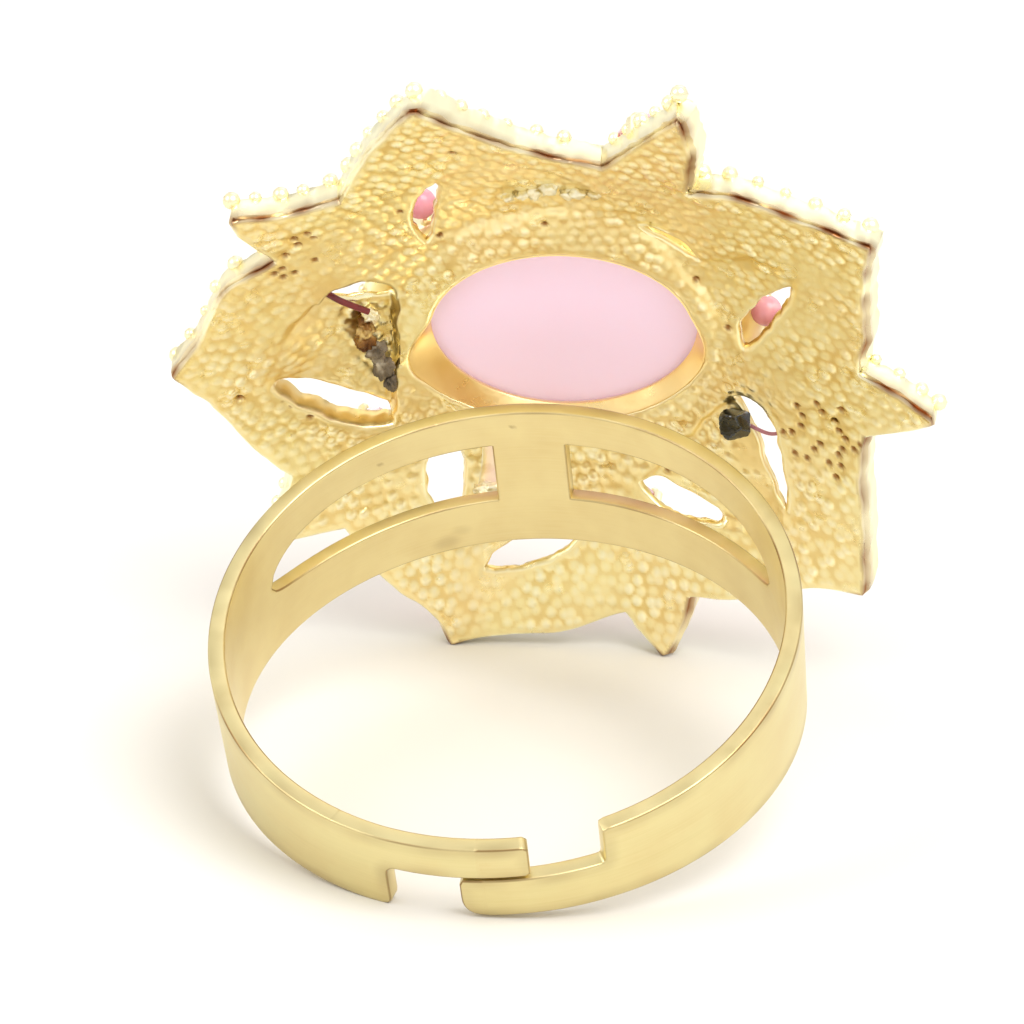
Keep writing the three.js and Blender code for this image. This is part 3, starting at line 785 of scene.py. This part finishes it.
def almond(first, second, tip):
    """The inner petal's outline, from one slit to its own tip and back down the other slit."""
    up = smooth_path([polar(*first[0]), polar(*first[1]), polar(*first[2]), polar(*tip)], 6)
    down = smooth_path([polar(*tip), polar(*second[2]), polar(*second[1]), polar(*second[0])], 6)
    return np.array([*up, *down[1:]])


FLOWER_EDGE = flower_outline()
SLIT_ROWS = [slit for row in INNER_PETALS for slit in (row[1], row[2]) if slit[3] > 0]
SLITS = [crescent(*slit[:4]) for slit in SLIT_ROWS]
ALMONDS = [almond(row[1], row[2], row[3]) for row in INNER_PETALS]
MOUTH_EDGE = np.array([oval_point(MOUTH, 2 * math.pi * k / 96) for k in range(96)])
VALLEYS = [row[1] for row in OUTLINE]


def slit_distance(points):
    return np.min([polygon_distance(points, slit) for slit in SLITS], axis=0)


def slit_thinning(points):
    """How much thinner the casting is beside its slits."""
    thinner = [(PLATE - row[4]) * smoothstep(-polygon_distance(points, slit), -0.75, -0.1)
               for row, slit in zip(SLIT_ROWS, SLITS)]
    return np.sum(thinner, axis=0)


def valley_distance(points):
    """Distance to the nearest of the lines from the flower's middle through its valleys."""
    nearest = np.full(len(points), 9.0)
    for angle, _ in VALLEYS:
        turn = math.radians(angle)
        ahead = points[:, 0] * math.cos(turn) + points[:, 1] * math.sin(turn)
        aside = np.abs(points[:, 0] * math.sin(turn) - points[:, 1] * math.cos(turn))
        nearest = np.minimum(nearest, np.where(ahead > 0, aside, 9.0))
    return nearest


def almond_slopes(points):
    """For each inner petal: how far inside its outline each point lies, how far the petal lies in
    front of the rest, and a share that is 0 at its tip, where it is flush with the rest."""
    for outline, (_, _, _, tip, depth) in zip(ALMONDS, INNER_PETALS):
        inside = -polygon_distance(points, outline) + 0.06 * ripple(points, 1.4, 5)
        clear = smoothstep(np.linalg.norm(points - np.array(polar(*tip)), axis=1), 0.1, 2.2)
        yield inside, depth, clear


def almond_sink(points):
    """How far the inner petals lie in front of the rest, with a short slope at their edge."""
    return np.max([depth * smoothstep(inside, -0.2, 0.2) * clear
                   for inside, depth, clear in almond_slopes(points)], axis=0)


def slope_share(points):
    """Nearly 1 on the slopes at the inner petals' edges and 0 elsewhere."""
    return np.max([smoothstep(-np.abs(inside), -0.3, -0.1) * min(1, depth / 0.4) * clear
                   for inside, depth, clear in almond_slopes(points)], axis=0)


class Pebbles:
    """Raised round grains on a shaken hexagonal net, with open pits here and there."""

    def __init__(self):
        dice = random.Random(SEED)
        places = []
        self.height = []
        reach = int(14 / PEBBLE_PITCH) + 2
        for row in range(-reach - 4, reach + 5):
            for column in range(-reach, reach + 1):
                x = (column + 0.5 * (row % 2)) * PEBBLE_PITCH + dice.uniform(-0.11, 0.11)
                y = row * PEBBLE_PITCH * 0.866 + dice.uniform(-0.11, 0.11)
                places.append((x, y))
                pit = dice.random() < self.pit_share(x, y)
                self.height.append(-2.2 if pit else dice.uniform(0.4, 1.2))
        self.height = np.array(self.height)
        self.tree = kdtree.KDTree(len(places))
        for k, (x, y) in enumerate(places):
            self.tree.insert((x, y, 0), k)
        self.tree.balance()

    @staticmethod
    def pit_share(x, y):
        share = 0.004
        for place, radius, weight in PIT_PATCHES:
            px, py = polar(*place)
            if math.hypot(x - px, y - py) < radius:
                share = max(share, weight)
        return share

    def at(self, points):
        """Height of the grains at each point, 1 for a full one and below 0 in a pit."""
        found = [self.tree.find((x, y, 0))[1:] for x, y in points]
        index = np.array([k for k, _ in found])
        gap = np.array([d for _, d in found]) / (0.52 * PEBBLE_PITCH)
        shape = np.maximum(0, 1 - gap ** 2)
        factor = self.height[index]
        return np.where(factor < 0, factor * np.maximum(0, 1 - (gap * 1.45) ** 2), factor * shape)


PEBBLES = Pebbles()
RIM_KINDS = ("outer", "opening", "slit", "split")
# For each kind of edge, its rings: how far each stands out, its depth as a share of the wall's
# height, and a depth in mm on top of that.
RIM_PROFILES = {
    "outer": [(0.07, 0, 0.02), (0.12, 0, 0.07), (0.07, 0, 0.17), (0.2, 0, 0.2), (0.22, 0.4, 0.1),
              (0.24, 0.85, 0.05), (0.16, 1, 0.02)],
    "opening": [(0.05, 0, 0.01), (0.1, 0, 0.04), (0.13, 0, 0.1), (0.14, 0.2, 0.1), (0.14, 0.5, 0.05),
                (0.14, 0.8, 0), (0.1, 1, 0)],
    "slit": [(0.05, 0, 0.01), (0.1, 0, 0.04), (0.14, 0, 0.1), (0.16, 0.2, 0.1), (0.16, 0.5, 0.05),
             (0.12, 0.9, 0), (0.06, 1, 0)],
    "split": [(0, 0.12 * k, 0) for k in range(1, 8)],
}


def edge_fields(points):
    """One field for the outline, one for the opening behind the stone and one for the slits."""
    outer = polygon_distance(points, FLOWER_EDGE) + 0.035 * ripple(points, 1.7, 4)
    slit = slit_distance(points) + 0.05 * ripple(points, 1.2, 2)
    return np.stack([outer, -polygon_distance(points, MOUTH_EDGE), -slit]) + CAST_ROUND


def casting_field(points):
    return edge_fields(points).max(axis=0)


def in_wedge(index):
    """A test for points between the two rays from the flower's middle through a petal's valleys."""
    low = VALLEYS[index][0]
    width = (VALLEYS[(index + 1) % len(VALLEYS)][0] - low) % 360

    def test(points):
        angle = np.degrees(np.arctan2(points[:, 1], points[:, 0]))
        return (angle - low) % 360 < width
    return test


def smooth_share(points):
    """1 in the middle of the smooth patches, 0 outside them."""
    share = np.zeros(len(points))
    for place, radius in SMOOTH_PATCHES:
        gap = np.linalg.norm(points - np.array(polar(*place)), axis=1) + 0.2 * ripple(points, 1.5, 8)
        share = np.maximum(share, smoothstep(-gap, -radius, -0.5 * radius))
    return share


def grain_strength(points):
    """The grains are bold in places and washed out in others, and fade beside every edge."""
    patchy = np.clip(0.72 + 0.38 * ripple(points, 3.6, 1), 0.25, 1.1)
    inside = smoothstep(-casting_field(points), 0.0, 0.2)
    return patchy * (1 - slope_share(points)) * (1 - smooth_share(points)) * inside


def back_surface(points):
    """The petals' back: the dome, the inner petals' hollow and the grains."""
    uneven = 0.05 * ripple(points, 4.5, 3) + 0.012 * ripple(points, 0.5, 6)
    grains = PEBBLE_HEIGHT * grain_strength(points) * PEBBLES.at(points)
    return dome_height(points) + almond_sink(points) - grains + uneven


def front_surface(points):
    """The petals' front: thin beside the slits, with the wall that stands round the flower."""
    inside = -polygon_distance(points, FLOWER_EDGE)
    wall = (WALL_HEIGHT - PLATE) * smoothstep(-inside, -WALL_WIDTH - 0.18, -WALL_WIDTH)
    return dome_height(points) + 0.75 * almond_sink(points) + PLATE - slit_thinning(points) + wall


def flower_place(flat, depth):
    return np.column_stack([flat[:, 0] + FLOWER_X, flat[:, 1] + FLOWER_Y, depth])


def petal_rings(kind):
    """The rings of a petal's wall, for the kind of edge at each rim point."""
    def rings(rim, back, front):
        smooth_back = dome_height(rim) + almond_sink(rim)
        to_right = smoothstep(gradient(casting_field, rim)[:, 0], 0.5, 0.95) * (kind == 0)
        made = []
        for k in range(len(RIM_PROFILES["outer"])):
            profile = np.array([RIM_PROFILES[key][k] for key in RIM_KINDS])[kind]
            shake = (0.035 if k > 2 else 0.02) * ripple(rim, 0.7, 7 + 0.4 * k) * (kind < 3)
            flare = FLARE * to_right * max(0, k - 2) / 3
            depth = smooth_back + profile[:, 1] * (front - smooth_back) + profile[:, 2]
            made.append((profile[:, 0] + shake + flare, depth + 0.5 * shake))
        return made
    return rings


def make_petal(index, whole):
    """One petal of the casting, with the beads on its wall."""
    name, _, _, tip, _ = OUTLINE[index]
    sheet = split_sheet(whole, in_wedge(index))
    flat, _, edges, real = sheet
    edge = np.unique(edges)
    kind = np.where(real[edge], edge_fields(flat[edge]).argmax(axis=0), 3)
    points, faces, count, rim = walled_sheet(
        sheet, casting_field, back_surface, front_surface, petal_rings(kind), flower_place)
    grain = PEBBLES.at(flat)
    strength = np.clip(grain_strength(flat), 0, 1)
    # Painted light and shade: pale on the grains' tops, ochre between them, on the inner petals' slopes and
    # on the smooth patches.
    hollow = 0.45 + strength * (0.4 - np.clip(grain, 0, 1)) + 0.35 * slope_share(flat)
    hollow += 0.3 * smooth_share(flat)
    hollow = np.concatenate([hollow, np.full(len(points) - count, 0.25)])
    # Painted shade: the pits, and the crease at the wall's foot, are coloured dark brown.
    grime_and_shade = np.zeros(len(points))
    grime_and_shade[:count] = smoothstep(-grain, 0.3, 1.6) * 0.85
    crease = crease_weight(flat[edge], tip) * (kind == 0)
    grime_and_shade[edge] = np.maximum(grime_and_shade[edge], 0.5 * crease)
    for ring, weight in enumerate((0.8, 1.0, 1.0, 0.55)):
        start = 2 * count + ring * rim
        grime_and_shade[start:start + rim] = weight * crease
    # Painted light and shade on the walls: the outer wall gets the palest gold, the slit and opening walls
    # mostly ochre.
    for ring in range(len(RIM_PROFILES["slit"])):
        start = 2 * count + ring * rim
        hollow[start:start + rim] = np.where(kind == 0, 0.0, 0.9 if ring > 2 else 0.2)
    joined, faces = join_parts([(points, faces), *rim_beads(index)])
    unmarked = np.zeros(len(joined) - len(points))
    marks = {"hollow": np.concatenate([hollow, unmarked]), "grime_and_shade": np.concatenate([grime_and_shade, unmarked])}
    on_head(add_mesh(f"cast_{name}", joined, faces, LOOKS["cast"], marks, 55), "cast_brass", name)


def crease_weight(rim, tip):
    """Painted shade: a broken dark brown line in the crease on the upper edges and at the tips."""
    outward = gradient(lambda p: polygon_distance(p, FLOWER_EDGE), rim)
    upper = smoothstep(-outward[:, 1] + 0.25 * outward[:, 0], 0.15, 0.7)
    upper = np.maximum(upper, smoothstep(outward[:, 0], 0.75, 0.95))
    tip_gap = np.linalg.norm(rim - np.array(polar(*tip)), axis=1)
    at_tip = smoothstep(tip_gap, 0.9, 0.25)
    broken = np.array([noise.noise(Vector((x * 1.1, y * 1.1, 3.0))) for x, y in rim])
    return np.clip(np.maximum(upper * (0.7 + 1.3 * broken), at_tip), 0, 1)


def rim_beads(index):
    """Round grains on top of the wall round one petal."""
    dice = random.Random(SEED + index)
    spacing = 0.98 if OUTLINE[index][0].startswith("broad") else 0.82
    rising, falling = petal_sides(index)
    parts = []
    for side in (rising[::-1], falling):
        path = np.array(smooth_path(side, 24))
        lengths = np.concatenate([[0], np.cumsum(np.linalg.norm(np.diff(path, axis=0), axis=1))])
        place = 0.0 if not parts else spacing
        while place < lengths[-1] - 0.3:
            spot = np.array([np.interp(place, lengths, path[:, k]) for k in (0, 1)])[None]
            inward = -gradient(lambda p: polygon_distance(p, FLOWER_EDGE), spot + 0.01)
            size = max(np.linalg.norm(inward), 0.5)
            spot = spot + inward / size * (-0.02 if place else 0.1)
            radius = dice.uniform(0.2, 0.3) if place else 0.3
            height = dome_height(spot)[0] + WALL_HEIGHT + dice.uniform(0.02, 0.12)
            parts.append(ball_part((spot[0, 0] + FLOWER_X, spot[0, 1] + FLOWER_Y, height), radius))
            place += spacing * dice.uniform(0.88, 1.12)
    return parts


def enamel_field(points):
    """Negative where the trays of the broad petals hold enamel, clear of slits and inner petals."""
    outer = polygon_distance(points, FLOWER_EDGE) + WALL_WIDTH + 0.25
    slit = 0.8 - slit_distance(points)
    valley = 0.22 - valley_distance(points)
    inner = 7.7 - np.linalg.norm(points, axis=1)
    hollow = 0.2 - np.min([polygon_distance(points, outline) for outline in ALMONDS], axis=0)
    return np.max([outer, slit, valley, inner, hollow], axis=0)


def enamel_top(points):
    inside = np.maximum(0, -enamel_field(points))
    return dome_height(points) + PLATE + 0.1 + 0.4 * (1 - np.exp(-inside / 0.45))


def enamel_rings(rim, back, front):
    return [(np.full(len(rim), 0.04), back + 0.02), (np.full(len(rim), 0.06), front - 0.08),
            (np.full(len(rim), 0.04), front - 0.03)]


def make_enamel(index, whole):
    """Pink enamel in the tray of a broad petal."""
    number = OUTLINE[index][0].split("_")[-1]
    points, faces, _, _ = walled_sheet(
        split_sheet(whole, in_wedge(index)), enamel_field,
        lambda flat: dome_height(flat) + PLATE - 0.1, enamel_top, enamel_rings, flower_place)
    piece = add_mesh(f"enamel_fill_{number}", points, faces, LOOKS["enamel"], sharp_angle=60)
    on_head(piece, "pink_enamel", f"enamel_{number}")


def make_drop_stone(index, number):
    """A faceted pear-shaped stone in four claws on a pointed petal."""
    start, length, half_width = 7.7, 3.4, 1.2
    turn = math.radians(OUTLINE[index][3][0])
    segments = 16
    outline = []
    for k in range(segments):
        t = 2 * math.pi * k / segments
        share = 0.5 - 0.5 * math.cos(t)
        outline.append((length * share, half_width * math.sin(t) * (1 - 0.55 * share ** 1.5)))
    middle = 0.42 * length
    levels = [(0.55, 0.0), (1.0, 0.45), (1.0, 0.6), (0.78, 0.98), (0.5, 1.22)]
    crown_row = 2
    points, faces = [], []
    for share, lift in levels:
        for u, v in outline:
            across = middle + (u - middle) * share
            points.append(petal_point(turn, start + across, v * share, PLATE + 0.25 + lift))
    for a, b, c, d in band_faces(len(levels), segments):
        faces += [(a, b, c), (a, c, d)] if a // segments == crown_row else [(a, b, c, d)]
    faces += end_faces(len(levels), segments)
    stone = add_mesh(f"pear_stone_{number}", points, faces, LOOKS["glass"], sharp_angle=12)
    on_head(stone, "pink_glass", f"drop_stone_{number}")
    claws = []
    for k in (2, 5, 11, 14):
        u, v = outline[k]
        foot = petal_point(turn, start + u, v * 1.04, PLATE - 0.1)
        shoulder = petal_point(turn, start + u, v * 1.12, PLATE + 0.75)
        tip = petal_point(turn, start + middle + (u - middle) * 0.86, v * 0.86, PLATE + 1.08)
        claws.append(tube_part([foot, shoulder, tip], 0.16, 8))
        claws.append(ball_part(tip, 0.2))
    points, faces = join_parts(claws)
    settings = {"hollow": np.full(len(points), 0.1), "grime_and_shade": np.zeros(len(points))}
    on_head(add_mesh(f"claws_{number}", points, faces, LOOKS["cast"], settings), "cast_brass")


def petal_point(turn, u, v, lift):
    x = u * math.cos(turn) - v * math.sin(turn)
    y = u * math.sin(turn) + v * math.cos(turn)
    height = dome_height(np.array([[x, y]]))[0] + lift
    return (x + FLOWER_X, y + FLOWER_Y, height)


# ------------------------------------------------------------------ cup and stone
def loft_ovals(rows, segments=144):
    """A closed ring through ovals, each row being (oval, how far outside it, height)."""
    points, faces = [], []
    for k in range(segments):
        turn = 2 * math.pi * k / segments
        for oval, offset, height in rows:
            x, y = oval_point(oval, turn, offset)
            points.append((x + FLOWER_X, y + FLOWER_Y, height))
    count = len(rows)
    for k in range(segments):
        after = (k + 1) % segments
        for j in range(count):
            below = (j + 1) % count
            faces.append((k * count + j, k * count + below, after * count + below, after * count + j))
    return points, faces


def between(first, second, share):
    """An oval part of the way from one oval to another."""
    return tuple(tuple(p + (q - p) * share for p, q in zip(one, other))
                 for one, other in zip(first, second))


def oval_place(oval, turn, offset=0.0):
    x, y = oval_point(oval, turn, offset)
    return (x + FLOWER_X, y + FLOWER_Y)


def make_cup():
    """The collar, the ledge and the bezel, with a grain border and claws round the stone."""
    rows = [(MOUTH, 0.3, 14.5), (MOUTH, 0.2, 14.1), (MOUTH, 0.08, 13.93), (MOUTH, 0.0, 13.9),
            (between(MOUTH, LEDGE, 0.12), 0, 13.95), (between(MOUTH, LEDGE, 0.5), 0, 14.17),
            (between(MOUTH, LEDGE, 0.92), 0, 14.36), (LEDGE, 0, LEDGE_BACK),
            (LEDGE, 0.05, SEAT_HEIGHT - 0.06), (LEDGE, 0.2, SEAT_HEIGHT),
            (BEZEL, -0.15, SEAT_HEIGHT), (BEZEL, -0.05, SEAT_HEIGHT + 0.1),
            (BEZEL, 0, BEZEL_TOP - 0.15), (BEZEL, 0.06, BEZEL_TOP - 0.03), (BEZEL, 0.2, BEZEL_TOP),
            (BEZEL, 0.36, BEZEL_TOP - 0.05), (BEZEL, 0.44, BEZEL_TOP - 0.2), (BEZEL, 0.45, 15.2),
            (BEZEL, 0.4, 14.9), (BEZEL, 0.2, 14.7), (BEZEL, -0.4, 14.56)]
    parts = [loft_ovals(rows)]
    for k in range(BORDER_GRAINS):
        turn = 2 * math.pi * k / BORDER_GRAINS
        parts.append(ball_part((*oval_place(BEZEL, turn, 0.42), 15.05), 0.22))
    for k in range(STONE_CLAWS):
        turn = 2 * math.pi * (k + 0.5) / STONE_CLAWS
        root = oval_place(BEZEL, turn, 0.15)
        tip = oval_place(STONE, turn, -0.35)
        parts.append(tube_part([(*root, 15.2), (*root, 16.1), (*tip, 16.6)], 0.26, 10))
        parts.append(ball_part((*tip, 16.57), 0.3))
    points, faces = join_parts(parts)
    depth = np.array([p[2] for p in points])
    # Painted shade: the collar, below 14.6 mm, is marked for a darker, warmer gold.
    attributes = {"hollow": np.full(len(points), 0.1), "grime_and_shade": np.zeros(len(points)),
                  "collar": np.where(depth < 14.6, 0.85, 0.0)}
    on_head(add_mesh("bezel_cup", points, faces, LOOKS["cast"], attributes), "cast_brass", "stone_cup")


def make_cabochon():
    """An oval dome with a flat back, a soft lower edge and an upright girdle."""
    girdle = 1.1
    base = SEAT_HEIGHT + 0.01
    profile = [(0.25, 0.0), (0.5, 0.0), (0.75, 0.0), (0.93, 0.0), (0.98, 0.03), (1.0, 0.12), (1.0, girdle)]
    rings = 20
    for k in range(1, rings):
        turn = math.pi / 2 * k / rings
        profile.append((math.cos(turn), girdle + (STONE_TOP - base - girdle) * math.sin(turn)))
    segments = 96
    points = [(FLOWER_X, FLOWER_Y, base)]
    for share, height in profile:
        for k in range(segments):
            turn = 2 * math.pi * k / segments
            points.append((FLOWER_X + STONE[0][0] * share * math.cos(turn),
                           FLOWER_Y + STONE[0][2] * share * math.sin(turn), base + height))
    points.append((FLOWER_X, FLOWER_Y, STONE_TOP))
    faces = round_faces(len(profile), segments)
    flat_back = [1.0 if p[2] < base + 0.08 else 0.0 for p in points]
    piece = add_mesh("cabochon_stone", points, faces, LOOKS["rose"], {"flat_back": flat_back})
    on_head(piece, "rose_stone", "cabochon")


def make_accents():
    """Small round stones on the front, seen through two of the slits."""
    places = [((-4.55, -5.0), 14.95), ((7.1, -0.25), 14.75)]
    for number, ((x, y), height) in enumerate(places, 1):
        points, faces = ball_part((x + FLOWER_X, y + FLOWER_Y, height), 0.55, 12, 18)
        on_head(add_mesh(f"accent_stone_{number}", points, faces, LOOKS["glass"]), "pink_glass")


# ------------------------------------------------------------------ joining details
def lump(centre, size, name, material, subdivisions=4, roughness=0.0, seed=0.0, facets=False):
    """A lump of glue or solder made from a shaken ball, or a chip cut by flat faces."""
    mesh = bpy.data.meshes.new(name)
    shape = bmesh.new()
    bmesh.ops.create_icosphere(shape, subdivisions=subdivisions, radius=1.0)
    for vertex in shape.verts:
        direction = vertex.co.normalized()
        if facets:
            cuts = [direction.dot(axis) for axis in CHIP_FACES]
            radius = min(1.25, min(0.8 / max(cut, 0.05) for cut in cuts))
        else:
            radius = 1 + roughness * noise.fractal(direction * 1.6 + Vector((seed, 0, 0)), 1.0, 2.0, 4)
        vertex.co = Vector(centre) + Vector([direction[k] * radius * size[k] for k in range(3)])
    shape.to_mesh(mesh)
    shape.free()
    mesh.transform(OWN)
    mesh.polygons.foreach_set("use_smooth", [not facets] * len(mesh.polygons))
    mesh.materials.append(material)
    piece = bpy.data.objects.new(name, mesh)
    bpy.context.scene.collection.objects.link(piece)
    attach(piece, "ring_head")
    return piece


CHIP_FACES = [Vector(v).normalized() for v in (
    (1, 0.3, 0.2), (-1, 0.2, 0.4), (0.2, 1, -0.3), (0.1, -1, 0.3), (0.3, 0.4, -1), (-0.4, -0.3, -1),
    (0.2, 0.1, 1), (-0.7, 0.8, 0.1), (0.8, -0.7, -0.4))]


def make_post():
    """The flat post from the crown's bridge to the collar, with solder at both ends."""
    foot = BORE_RADIUS + SHEET - 0.05
    top = DOME_TOP + 0.35
    place_y = FLOWER_Y + CUP_LOWER_EDGE
    rows, segments = 15, 24
    points, section = [], []
    for k in range(segments):
        turn = 2 * math.pi * k / segments
        c, s = math.cos(turn), math.sin(turn)
        section.append((math.copysign(abs(c) ** 0.25, c) * 1.4, math.copysign(abs(s) ** 0.25, s) * 0.45))
    for row in range(rows):
        share = row / (rows - 1)
        height = foot + (top - foot) * share
        flare = 1 + 0.35 * math.exp(-share * 9) + 0.3 * math.exp(-(1 - share) * 9)
        for x, y in section:
            shake = 0.05 * noise.noise(Vector((x * 1.7, y * 1.7, height * 1.3)))
            half = x * (0.9 + 0.1 * flare + 0.1 * share)
            points.append((half + shake - 0.72, y * flare + shake + place_y, height))
    faces = band_faces(rows, segments) + end_faces(rows, segments)
    on_head(add_mesh("post_bar", points, faces, LOOKS["solder"]), "cast_brass", "mount_post")


def make_joins():
    """Solder at the post's foot, glue and flux beside the collar, and rough spots of the casting."""
    solder = [((-1.65, 1.2, 9.74), (0.45, 0.26, 0.32)), ((-2.0, 1.3, 9.85), (0.26, 0.2, 0.25)),
              ((-1.3, 1.75, 9.65), (0.3, 0.35, 0.22)), ((0.9, 2.2, 9.7), (0.35, 0.35, 0.25))]
    for k, (centre, size) in enumerate(solder):
        piece = lump(centre, size, f"solder_blob_{k + 1}", LOOKS["solder"], roughness=0.45, seed=5.0 + k)
    glue = [((-6.5, -1.35, 13.4), (0.26, 0.24, 0.25), "solder"),
            ((-6.75, -0.8, 13.45), (0.3, 0.36, 0.3), "residue"),
            ((-6.85, -0.2, 13.45), (0.32, 0.36, 0.3), "residue"),
            ((-6.5, 0.25, 13.4), (0.36, 0.34, 0.32), "cement"),
            ((-6.35, 0.95, 13.4), (0.34, 0.45, 0.32), "cement"),
            ((-6.15, 1.65, 13.4), (0.2, 0.36, 0.26), "cement")]
    for k, ((x, y, z), size, look) in enumerate(glue):
        centre = (x + FLOWER_X, y + FLOWER_Y, z)
        lump(centre, size, f"glue_lump_{k + 1}", LOOKS[look], roughness=0.6, seed=11.0 + k)
    dice = random.Random(SEED)
    for k in range(7):
        x, y = polar(259 + 4.2 * k + dice.uniform(-1, 1), 6.6 + dice.uniform(-0.2, 0.35))
        height = float(dome_height(np.array([[x, y]]))[0]) + 0.05
        size = [dice.uniform(0.16, 0.32) for _ in range(3)]
        centre = (x + FLOWER_X, y + FLOWER_Y, height)
        piece = lump(centre, size, f"casting_lump_{k + 1}", LOOKS["solder"], 3, 0.5, 31.0 + k)
    centre = (5.95 + FLOWER_X, 3.55 + FLOWER_Y, 13.1)
    lump(centre, (0.56, 0.6, 0.5), "flux_chip", LOOKS["black"], facets=True)


def make_stamens():
    """Lacquered wires through the slits, each with a glass bead at the front."""
    courses = {
        "left": ([(-6.55, -1.6, 13.3), (-7.6, -2.38, 13.1), (-8.3, -2.72, 13.6), (-8.6, -3.0, 14.6),
                  (-8.2, -2.8, 16.2), (-7.7, -2.6, 16.8)], 0.12, "red"),
        "right": ([(6.2, 3.7, 13.4), (7.2, 3.85, 12.95), (7.9, 3.6, 13.2), (8.3, 3.1, 14.2),
                   (8.1, 2.6, 15.8), (7.9, 2.4, 16.8)], 0.07, "mauve"),
    }
    for side, (course, radius, look) in courses.items():
        path = smooth_path([(x + FLOWER_X, y + FLOWER_Y, z) for x, y, z in course], 8)
        points, faces = tube_part(path, radius)
        wire = add_mesh(f"stamen_wire_{side}", points, faces, LOOKS[look])
        on_head(wire, "red_wire", f"stamen_{side}")
        end = path[-1]
        points, faces = ball_part((end[0], end[1], end[2] + 0.3), 0.42, 16, 24)
        bead = add_mesh(f"stamen_glass_{side}", points, faces, LOOKS["glass"])
        on_head(bead, "pink_glass", f"stamen_bead_{side}")


# ------------------------------------------------------------------ studio
def make_sky(tree):
    """White all round, dimmer low down on the side that the flower's back looks to."""
    place = tree.nodes.new("ShaderNodeTexCoord")
    split = tree.nodes.new("ShaderNodeSeparateXYZ")
    tree.links.new(place.outputs["Generated"], split.inputs[0])
    dim = tree.nodes.new("ShaderNodeMapRange")
    dim.interpolation_type = "SMOOTHSTEP"
    for key, number in (("From Min", -1.0), ("From Max", -0.2), ("To Min", 0.93), ("To Max", 1.02)):
        dim.inputs[key].default_value = number
    tree.links.new(split.outputs["Y"], dim.inputs["Value"])
    background = tree.nodes["Background"]
    background.inputs["Color"].default_value = (1.0, 0.985, 0.96, 1)
    tree.links.new(dim.outputs["Result"], background.inputs["Strength"])


def make_studio():
    bpy.ops.mesh.primitive_plane_add(size=3.0, location=(0, 0, 0))
    floor = bpy.context.object
    floor.name = "studio_floor"
    floor.data.materials.append(LOOKS["floor"])
    world = bpy.data.worlds.new("studio")
    world.use_nodes = True
    make_sky(world.node_tree)
    bpy.context.scene.world = world
    lamps = [("key", (0.16, -0.16, 0.34), 0.3, 1.25), ("fill", (-0.26, -0.1, 0.22), 0.2, 0.3),
             ("back", (0.05, 0.3, 0.3), 0.3, 0.16)]
    for name, place, size, power in lamps:
        data = bpy.data.lights.new(name, "AREA")
        data.shape = "DISK"
        data.size = size
        data.energy = power
        lamp = bpy.data.objects.new(name, data)
        lamp.location = place
        lamp.rotation_euler = (Vector((0, 0, 0.012)) - Vector(place)).to_track_quat("-Z", "Y").to_euler()
        bpy.context.scene.collection.objects.link(lamp)
    bpy.context.scene.view_settings.view_transform = "Standard"


def make_camera():
    """A view from behind the finger hole, a little above and to the right."""
    data = bpy.data.cameras.new("camera")
    data.lens = CAMERA_LENS
    data.sensor_width = 36
    data.clip_start = 0.005
    camera = bpy.data.objects.new("camera", data)
    forward = Vector(CAMERA_FORWARD).normalized()
    right = Vector(CAMERA_RIGHT)
    right = (right - right.dot(forward) * forward).normalized()
    up = right.cross(forward)
    turn = Matrix((right, up, -forward)).transposed().to_4x4()
    camera.matrix_world = Matrix.Translation(CAMERA_PLACE) @ turn
    bpy.context.scene.collection.objects.link(camera)
    bpy.context.scene.camera = camera


# ------------------------------------------------------------------ assembly
make_camera()
make_studio()
make_shank()
make_post()
make_cup()
make_cabochon()
casting = cut_sheet(casting_field, (-13.6, -14), (13.6, 13.6), FINE)
trays = cut_sheet(enamel_field, (-13.6, -14), (13.6, 13.6), 0.14)
stone_number = 0
for petal_index, petal_row in enumerate(OUTLINE):
    make_petal(petal_index, casting)
    if petal_row[0].startswith("broad"):
        make_enamel(petal_index, trays)
    else:
        stone_number += 1
        make_drop_stone(petal_index, stone_number)
make_accents()
make_joins()
make_stamens()
